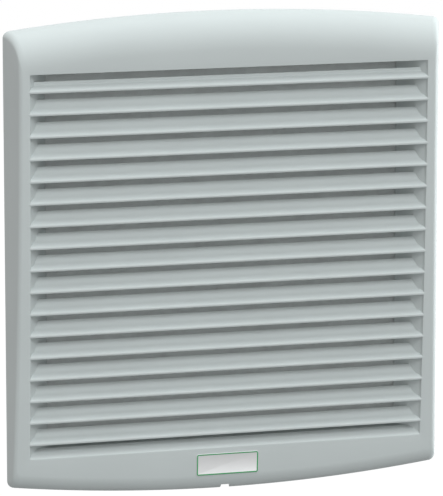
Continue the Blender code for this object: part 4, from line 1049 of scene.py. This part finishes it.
class FAN_OT_housing(bpy.types.Operator):
    """Cast the fan housing: two flanges, a flared bore, struts, motor seat and bearing tube"""

    bl_idname = "filter_fan.housing"
    bl_label = "Fan housing"

    def execute(self, context):
        fan = context.scene.fan_sizes
        front = fan.front
        back = front + fan.deep
        front_flange = front + fan.flange_wall
        rear_flange = back - fan.flange_wall
        wide = fan.flange_radius
        bore = fan.bore_radius
        barrel = bore + fan.barrel_wall
        flare = fan.bell_radius - bore
        edge = 0.0007
        hollow = 0.0018
        # Each quarter turn runs down one factor as it runs up the other
        quarter = [(1 - sin(pi / 2 * step / 6), 1 - cos(pi / 2 * step / 6)) for step in range(7)]
        levels = [(wide, edge * down, front + edge * up) for down, up in quarter]
        levels += [(wide, edge * up, front_flange - edge * down) for down, up in quarter]
        levels += [(barrel + hollow * down, edge, front_flange + hollow * up) for down, up in quarter]
        levels += [(barrel + hollow * up, edge, rear_flange - hollow * down) for down, up in quarter]
        levels += [(wide, edge * down, rear_flange + edge * up) for down, up in quarter]
        levels += [(wide, edge * up, back - edge * down) for down, up in quarter]
        levels += [(bore + flare * down, 0.0, back - fan.bell_depth * up) for down, up in quarter]
        levels += [(bore + flare * up, 0.0, front + fan.bell_depth * down) for down, up in quarter]
        body = loft([flat_sided(fan, *level) for level in levels], ring=True)

        tube_front, tube_back = tube_ends(fan)
        seat_back = back - 0.0003
        dish = seat_back - 0.0006
        soft = 0.001
        outline = [(fan.tube_inner, tube_front), (fan.tube_outer, tube_front), (fan.tube_outer, tube_back),
                   (fan.seat_radius, tube_back), (fan.seat_radius, seat_back),
                   (fan.seat_radius - 0.005, seat_back), (fan.seat_radius - 0.006, dish),
                   (fan.tube_inner + 0.005, dish), (fan.tube_inner + 0.004, seat_back),
                   (fan.tube_inner, seat_back)]
        radii = [0.0003] * 2 + [soft] * 3 + [0.0003] * 5
        seat = turned(fillet(outline, radii, 5))
        struts = [strut_shape(fan, radians(45.0) + pi / 2 * step) for step in range(4)]
        finish = painted_casting("housing_black", context.scene.fan_colours.cast)
        housing = piece("housing_cast", *together(body, seat, *struts), finish, smooth=38.0)
        hole = fan.screw_radius + SEAT
        axis = 0.0002
        past = 0.002
        drill = [(axis, front - past), (hole, front - past), (hole, back + past), (axis, back + past)]
        drills = [turned(drill, place, ring=False, steps=24) for place in screw_places(fan)]
        take_away(housing, together(*drills))
        shade(housing, 38.0)
        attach(housing, "frame")
        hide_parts("fan_housing")
        return {"FINISHED"}


class FAN_OT_motor(bpy.types.Operator):
    """Finish the motor's core, winding, shaft, bearings and magnet"""

    bl_idname = "filter_fan.motor"
    bl_label = "Motor"

    def execute(self, context):
        colours = context.scene.fan_colours
        dress(["fan_stator"], laminated_core("core_sheets", colours.steel))
        dress(["fan_winding"], copper_winding("winding_copper", colours.copper))
        dress(["fan_shaft"], bare_metal("shaft_ground", colours.steel, 0.22, (1.0, 0.15, 1.0)))
        dress(["bearing_front", "bearing_rear"],
              bare_metal("bearing_steel", colours.steel, 0.2, (1.0, 4.0, 1.0)))
        dress(["rotor_ring"], sintered_ferrite("magnet_ferrite", colours.ferrite))
        return {"FINISHED"}


def blade_section(fan, radius, portion, turn):
    """Closed cambered section of a blade at a radius, wrapped on that radius, with rounded edges."""
    angle = fan.blade_pitch - fan.blade_twist * portion
    chord = fan.blade_chord + fan.blade_spread * portion
    middle_y = sum(hub_ends(fan)) / 2
    camber = chord * 0.07
    edge = 0.0006
    steps = 18
    upper = []
    lower = []
    for step in range(steps + 1):
        s = (1 - cos(pi * step / steps)) / 2
        along = (s - 0.5) * chord
        bow = camber * (1 - (2 * s - 1) ** 2)
        body = 0.35 + 0.65 * sin(pi * min(1.0, 0.12 + s * 0.88))
        tip = sqrt(max(0.0, 1 - max(0.0, 1 - min(s, 1 - s) * chord / edge) ** 2))
        half = fan.blade_wall / 2 * body * tip
        for side, points in ((1, upper), (-1, lower)):
            if side < 0 and step in (0, steps):
                continue
            across = bow + side * half
            round_way = along * cos(angle) - across * sin(angle)
            y = middle_y + along * sin(angle) + across * cos(angle)
            spot = turn + fan.blade_sweep * portion * portion + round_way / radius
            points.append((radius * cos(spot), y, radius * sin(spot)))
    return upper + lower[::-1]


class FAN_OT_impeller(bpy.types.Operator):
    """Mould the impeller: hub cap with its blades"""

    bl_idname = "filter_fan.impeller"
    bl_label = "Impeller"

    def execute(self, context):
        fan = context.scene.fan_sizes
        hub_front, hub_rear = hub_ends(fan)
        inside = fan.hub_radius - fan.hub_wall
        floor = hub_front + fan.hub_wall
        boss_wall = 0.0025
        boss_gap = 0.001
        bore = 0.0028
        boss = bore + boss_wall
        boss_end = tube_ends(fan)[0] - boss_gap
        dish = hub_front + 0.0003
        axis = 0.0004
        outside = fan.hub_radius
        outline = [(axis, dish), (outside * 0.62, dish), (outside * 0.66, hub_front), (outside, hub_front),
                   (outside, hub_rear), (inside, hub_rear), (inside, floor), (boss, floor), (boss, boss_end),
                   (bore, boss_end), (bore, floor), (axis, floor)]
        radii = [0.0, 0.0008, 0.0008, fan.hub_edge, 0.0004, 0.0004, 0.001, 0.0006, 0.0003, 0.0003, 0.0, 0.0]
        shapes = [turned(fillet(outline, radii, 6), ring=False)]
        root = fan.hub_radius - fan.hub_wall * 0.6
        tip = fan.bore_radius - fan.tip_gap
        spans = 20
        for turn in round_turn(fan.blade_count):
            shapes.append(loft([blade_section(fan, root + (tip - root) * k / spans, k / spans, turn)
                                for k in range(spans + 1)]))
        finish = filled_plastic("impeller_black", context.scene.fan_colours.black)
        impeller = piece("impeller_moulded", *together(*shapes), finish, "impeller", smooth=40.0)
        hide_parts("fan_impeller")
        return {"FINISHED"}


def weld_bead(middle, wire):
    """Small flattened bead where a ring is welded to a spoke."""
    wide = wire * 1.25
    thick = wire * 0.8
    loops = []
    for step in range(1, 8):
        tilt = pi * step / 8
        outline = circle(wide * sin(tilt), (middle.x, middle.z), 12)
        loops.append(at_depth(outline, middle.y + thick * cos(tilt)))
    return loft(loops)


class FAN_OT_guard(bpy.types.Operator):
    """Bend the wire finger guard: rings on four spokes that end in eyelets"""

    bl_idname = "filter_fan.guard"
    bl_label = "Finger guard"

    def execute(self, context):
        fan = context.scene.fan_sizes
        start_y = fan.front + fan.deep + SEAT
        spoke_y = start_y + fan.wire
        ring_y = spoke_y + fan.wire * 1.4
        step_out = (fan.outer_ring - fan.inner_ring) / (fan.guard_rings - 1)
        rings = [fan.inner_ring + step_out * index for index in range(fan.guard_rings)]
        shapes = [turned(circle(fan.wire, (radius, ring_y), 14)) for radius in rings]
        for place in screw_places(fan):
            reach = hypot(*place)
            way = Vector((place[0] / reach, 0.0, place[1] / reach))
            across = Vector((-way.z, 0.0, way.x))
            loops = []
            for radius in (fan.inner_ring - fan.wire, reach - fan.eyelet + fan.wire):
                loops.append([tuple(way * radius + across * side + Vector((0.0, y, 0.0)))
                              for side, y in circle(fan.wire, (0.0, spoke_y), 16)])
            shapes.append(loft(loops))
            hole = fan.screw_radius + SEAT
            middle = (fan.eyelet + hole) / 2
            half = (fan.eyelet - hole) / 2
            section = [(middle + half * cos(a), spoke_y + fan.wire * sin(a)) for a in round_turn(16)]
            shapes.append(turned(section, place, steps=48))
            between = Vector((0.0, (spoke_y + ring_y) / 2, 0.0))
            shapes += [weld_bead(way * radius + between, fan.wire) for radius in rings]
        finish = bare_metal("guard_wire_plated", context.scene.fan_colours.steel, 0.24, (1.0, 1.0, 1.0))
        guard = piece("guard_wires", *together(*shapes), finish, "frame", smooth=50.0)
        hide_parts("finger_guard")
        return {"FINISHED"}


def threaded_rod(radius, pitch, start, stop, centre):
    """Rod with a helical thread, its ends tapering to the root."""
    around = 24
    per_turn = 8
    thread_depth = pitch * 0.3168
    taper = 0.0002
    levels = max(2, int((stop - start) / pitch * per_turn))
    loops = []
    for level in range(levels + 1):
        y = start + (stop - start) * level / levels
        ease = min(1.0, (y - start) / pitch, (stop - y) / pitch)
        loop = []
        for step, angle in enumerate(round_turn(around)):
            phase = ((y - start) / pitch - step / around) % 1.0
            reach = radius - thread_depth * abs(2 * phase - 1) - taper * (1 - ease)
            loop.append((centre[0] + reach * cos(angle), y, centre[1] + reach * sin(angle)))
        loops.append(loop)
    return loft(loops)


def cross_recess(place, top, reach):
    """Tapered cross that is sunk into a screw's head."""
    half = 0.00042
    deep = 0.0013
    arms = []
    for quarter in range(2):
        loops = []
        for depth, shrink in ((-0.0005, 1.15), (deep, 0.6)):
            long = reach * shrink
            wide = half * (0.6 + 0.4 * shrink)
            corners = [(-long, -wide), (long, -wide), (long, wide), (-long, wide)]
            if quarter:
                corners = [(-b, a) for a, b in corners]
            loops.append([(place[0] + a, top - depth, place[1] + b) for a, b in corners])
        arms.append(loft(loops))
    return together(*arms)


def nut_shape(fan, place, low, high):
    """Hexagon nut with chamfered corners and a plain bore that flares at both ends."""
    steps = 72
    flat = fan.nut_flats / 2
    corner = flat / cos(pi / 6)
    between = (flat + corner) / 2
    chamfer = 0.0005
    flare = 0.0003
    bore = fan.screw_radius + 0.0001
    loops = []
    for limit, y in ((flat * 0.98, low), (between, low + chamfer * 0.5), (corner, low + chamfer),
                     (corner, high - chamfer), (between, high - chamfer * 0.5), (flat * 0.98, high)):
        loop = []
        for angle in round_turn(steps):
            sector = (angle + pi / 3) % (pi / 3) - pi / 6
            reach = min(limit, flat / cos(sector))
            loop.append((place[0] + reach * cos(angle), y, place[1] + reach * sin(angle)))
        loops.append(loop)
    for radius, y in ((bore + flare, high), (bore, high - flare), (bore, low + flare), (bore + flare, low)):
        loops.append(at_depth(circle(radius, place, steps), y))
    return loft(loops, ring=True)


class FAN_OT_fasteners(bpy.types.Operator):
    """Turn the fan screws and nuts, and finish the terminal screws"""

    bl_idname = "filter_fan.fasteners"
    bl_label = "Fasteners"

    def execute(self, context):
        fan = context.scene.fan_sizes
        finish = bare_metal("fastener_zinc", context.scene.fan_colours.zinc, 0.34, (1.0, 1.0, 1.0), 0.0008)
        dress(["terminal_screw_1", "terminal_screw_2"], finish)
        for index, place in enumerate(screw_places(fan)):
            low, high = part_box(f"fan_screw_{index + 1}")
            middle = ((low.x + high.x) / 2, (low.z + high.z) / 2)
            seat = high.y - fan.head_height
            shank_end = low.y + fan.thread_length
            radius = fan.screw_radius
            head = fan.head_radius
            brim = 0.0004
            soft = 0.0003
            profile = [(soft, shank_end - 0.0005), (radius * 0.95, shank_end), (radius, shank_end + 0.0006),
                       (radius, seat), (head - soft, seat), (head, seat + soft)]
            for k in range(10):
                a = pi / 2 * k / 10
                profile.append((head * cos(a), seat + brim + (fan.head_height - brim) * sin(a)))
            profile.append((soft, high.y))
            shank = turned(profile, middle, ring=False, steps=48)
            screw = piece(f"screw_{index + 1}", *shank, finish)
            take_away(screw, cross_recess(middle, high.y, head * 0.55))
            thread = threaded_rod(radius, fan.thread_pitch, low.y, shank_end, middle)
            join(screw, piece("thread", *thread, smooth=0.0))
            shade(screw, 50.0)
            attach(screw, "frame")
            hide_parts(f"fan_screw_{index + 1}")
            low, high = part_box(f"fan_nut_{index + 1}")
            hexagon = nut_shape(fan, middle, low.y, high.y)
            nut = piece(f"nut_{index + 1}", *hexagon, finish, "frame", smooth=30.0)
            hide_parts(f"fan_nut_{index + 1}")
        return {"FINISHED"}


class FAN_OT_terminal(bpy.types.Operator):
    """Finish the terminal block"""

    bl_idname = "filter_fan.terminal"
    bl_label = "Terminal block"

    def execute(self, context):
        dress(["terminal_block"], moulded_plastic("terminal_cream", context.scene.fan_colours.terminal, 0.45))
        return {"FINISHED"}


def sun(name, energy, tint, spread, toward):
    """Parallel lamp that stands in a direction; spread is its apparent size in degrees."""
    light = bpy.data.lights.new(name, "SUN")
    light.energy = energy
    light.color = tint
    light.angle = radians(spread)
    lamp = bpy.data.objects.new(name, light)
    bpy.context.scene.collection.objects.link(lamp)
    lamp.rotation_euler = Vector(toward).to_track_quat("Z", "Y").to_euler()
    return lamp


def background_rays(finish):
    """1 for the rays that show the background: from the camera, off gloss or through glass."""
    mask = finish.node("ShaderNodeLightPath", output="Is Camera Ray")
    for kind in ("Is Glossy Ray", "Is Transmission Ray"):
        ray = finish.node("ShaderNodeLightPath", output=kind)
        mask = finish.maths("MAXIMUM", mask, ray)
    return mask


class FAN_OT_stage(bpy.types.Operator):
    """Set the floor, the light and the camera"""

    bl_idname = "filter_fan.stage"
    bl_label = "Stage"

    def execute(self, context):
        scene = context.scene
        stage = scene.fan_stage
        scene.view_settings.view_transform = "Standard"

        world = bpy.data.worlds.new("studio")
        world.use_nodes = True
        scene.world = world
        sky = Finish("studio", world.node_tree)
        white = (1.0, 1.0, 1.0, 1.0)
        soft = tone(stage.ambient_tint, stage.ambient)
        glow = sky.node("ShaderNodeBackground", None, {"Color": sky.blend(background_rays(sky), soft, white)})
        sky.node("ShaderNodeOutputWorld", None, {"Surface": glow})

        for name, energy, spread, toward in (("key_light", stage.key, 17.0, (0.20, -0.70, 0.68)),
                                             ("fill_light", stage.fill, 17.0, (-0.05, -0.97, 0.20)),
                                             ("high_light", stage.high, 25.0, (0.10, -0.25, 0.96)),
                                             ("top_light", stage.top, 25.0, (0.0, 0.12, 0.99)),
                                             ("rim_light", stage.rim, 25.0, (0.98, 0.18, 0.05))):
            sun(name, energy, stage.lamp_tint, spread, toward)

        half = 3.0
        edge = [(-half, -half), (half, -half), (half, half), (-half, half)]
        floor = piece("floor", [(x, y, -stage.floor_drop) for x, y in edge], [[0, 1, 2, 3]], smooth=0.0)
        ground = Finish("floor_pale")
        dust = ground.noise(0.4, 3.0)
        grey = ground.shades(dust, (0.20, 0.20, 0.20), 1.0, 1.15)
        diffuse = ground.node("ShaderNodeBsdfPrincipled", None, {"Base Color": grey, "Roughness": 0.9})
        glow = ground.node("ShaderNodeEmission", None, {"Color": white, "Strength": stage.floor_glow})
        seen = background_rays(ground) * 0.75
        mix = ground.node("ShaderNodeMixShader", None, {0: seen, 1: diffuse, 2: glow})
        ground.node("ShaderNodeOutputMaterial", None, {"Surface": mix})
        floor.data.materials.append(ground.material)

        view = bpy.data.cameras.new("camera")
        view.lens = stage.lens
        view.sensor_width = 36.0
        view.clip_start = 0.05
        view.clip_end = 50.0
        camera = bpy.data.objects.new("camera", view)
        scene.collection.objects.link(camera)
        camera.location = stage.camera_place
        camera.rotation_euler = Vector(stage.camera_aim).to_track_quat("-Z", "Y").to_euler()
        scene.camera = camera
        return {"FINISHED"}


OPERATORS = (FAN_OT_cover, FAN_OT_badge, FAN_OT_duct, FAN_OT_filter, FAN_OT_gasket, FAN_OT_housing,
             FAN_OT_motor, FAN_OT_impeller, FAN_OT_guard, FAN_OT_fasteners, FAN_OT_terminal, FAN_OT_stage)


class FAN_PT_panel(bpy.types.Panel):
    """Panel that lists the pieces and their sizes"""

    bl_idname = "FAN_PT_panel"
    bl_label = "Filter fan"
    bl_space_type = "VIEW_3D"
    bl_region_type = "UI"
    bl_category = "Filter fan"

    def draw(self, context):
        for operator in OPERATORS:
            self.layout.operator(operator.bl_idname)
        for scene_key in GROUPS:
            group = getattr(context.scene, scene_key)
            box = self.layout.box()
            for key in group.bl_rna.properties.keys():
                if key not in ("rna_type", "name"):
                    box.prop(group, key)


GROUPS = {"fan_cover": CoverSizes, "fan_sizes": FanSizes, "fan_soft": SoftSizes, "fan_colours": Colours,
          "fan_stage": StageSettings}


def register():
    """Add the settings, the operators and the panel to Blender."""
    for group in GROUPS.values():
        bpy.utils.register_class(group)
    for key, group in GROUPS.items():
        setattr(bpy.types.Scene, key, PointerProperty(type=group))
    for operator in OPERATORS:
        bpy.utils.register_class(operator)
    bpy.utils.register_class(FAN_PT_panel)


def unregister():
    """Take the panel, the operators and the settings out again."""
    bpy.utils.unregister_class(FAN_PT_panel)
    for operator in reversed(OPERATORS):
        bpy.utils.unregister_class(operator)
    for key, group in GROUPS.items():
        delattr(bpy.types.Scene, key)
        bpy.utils.unregister_class(group)


def main():
    """Build every piece."""
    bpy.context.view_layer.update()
    register()
    bpy.ops.filter_fan.cover()
    bpy.ops.filter_fan.badge()
    bpy.ops.filter_fan.duct()
    bpy.ops.filter_fan.filter()
    bpy.ops.filter_fan.gasket()
    bpy.ops.filter_fan.housing()
    bpy.ops.filter_fan.motor()
    bpy.ops.filter_fan.impeller()
    bpy.ops.filter_fan.guard()
    bpy.ops.filter_fan.fasteners()
    bpy.ops.filter_fan.terminal()
    bpy.ops.filter_fan.stage()


if __name__ == "__main__":
    main()
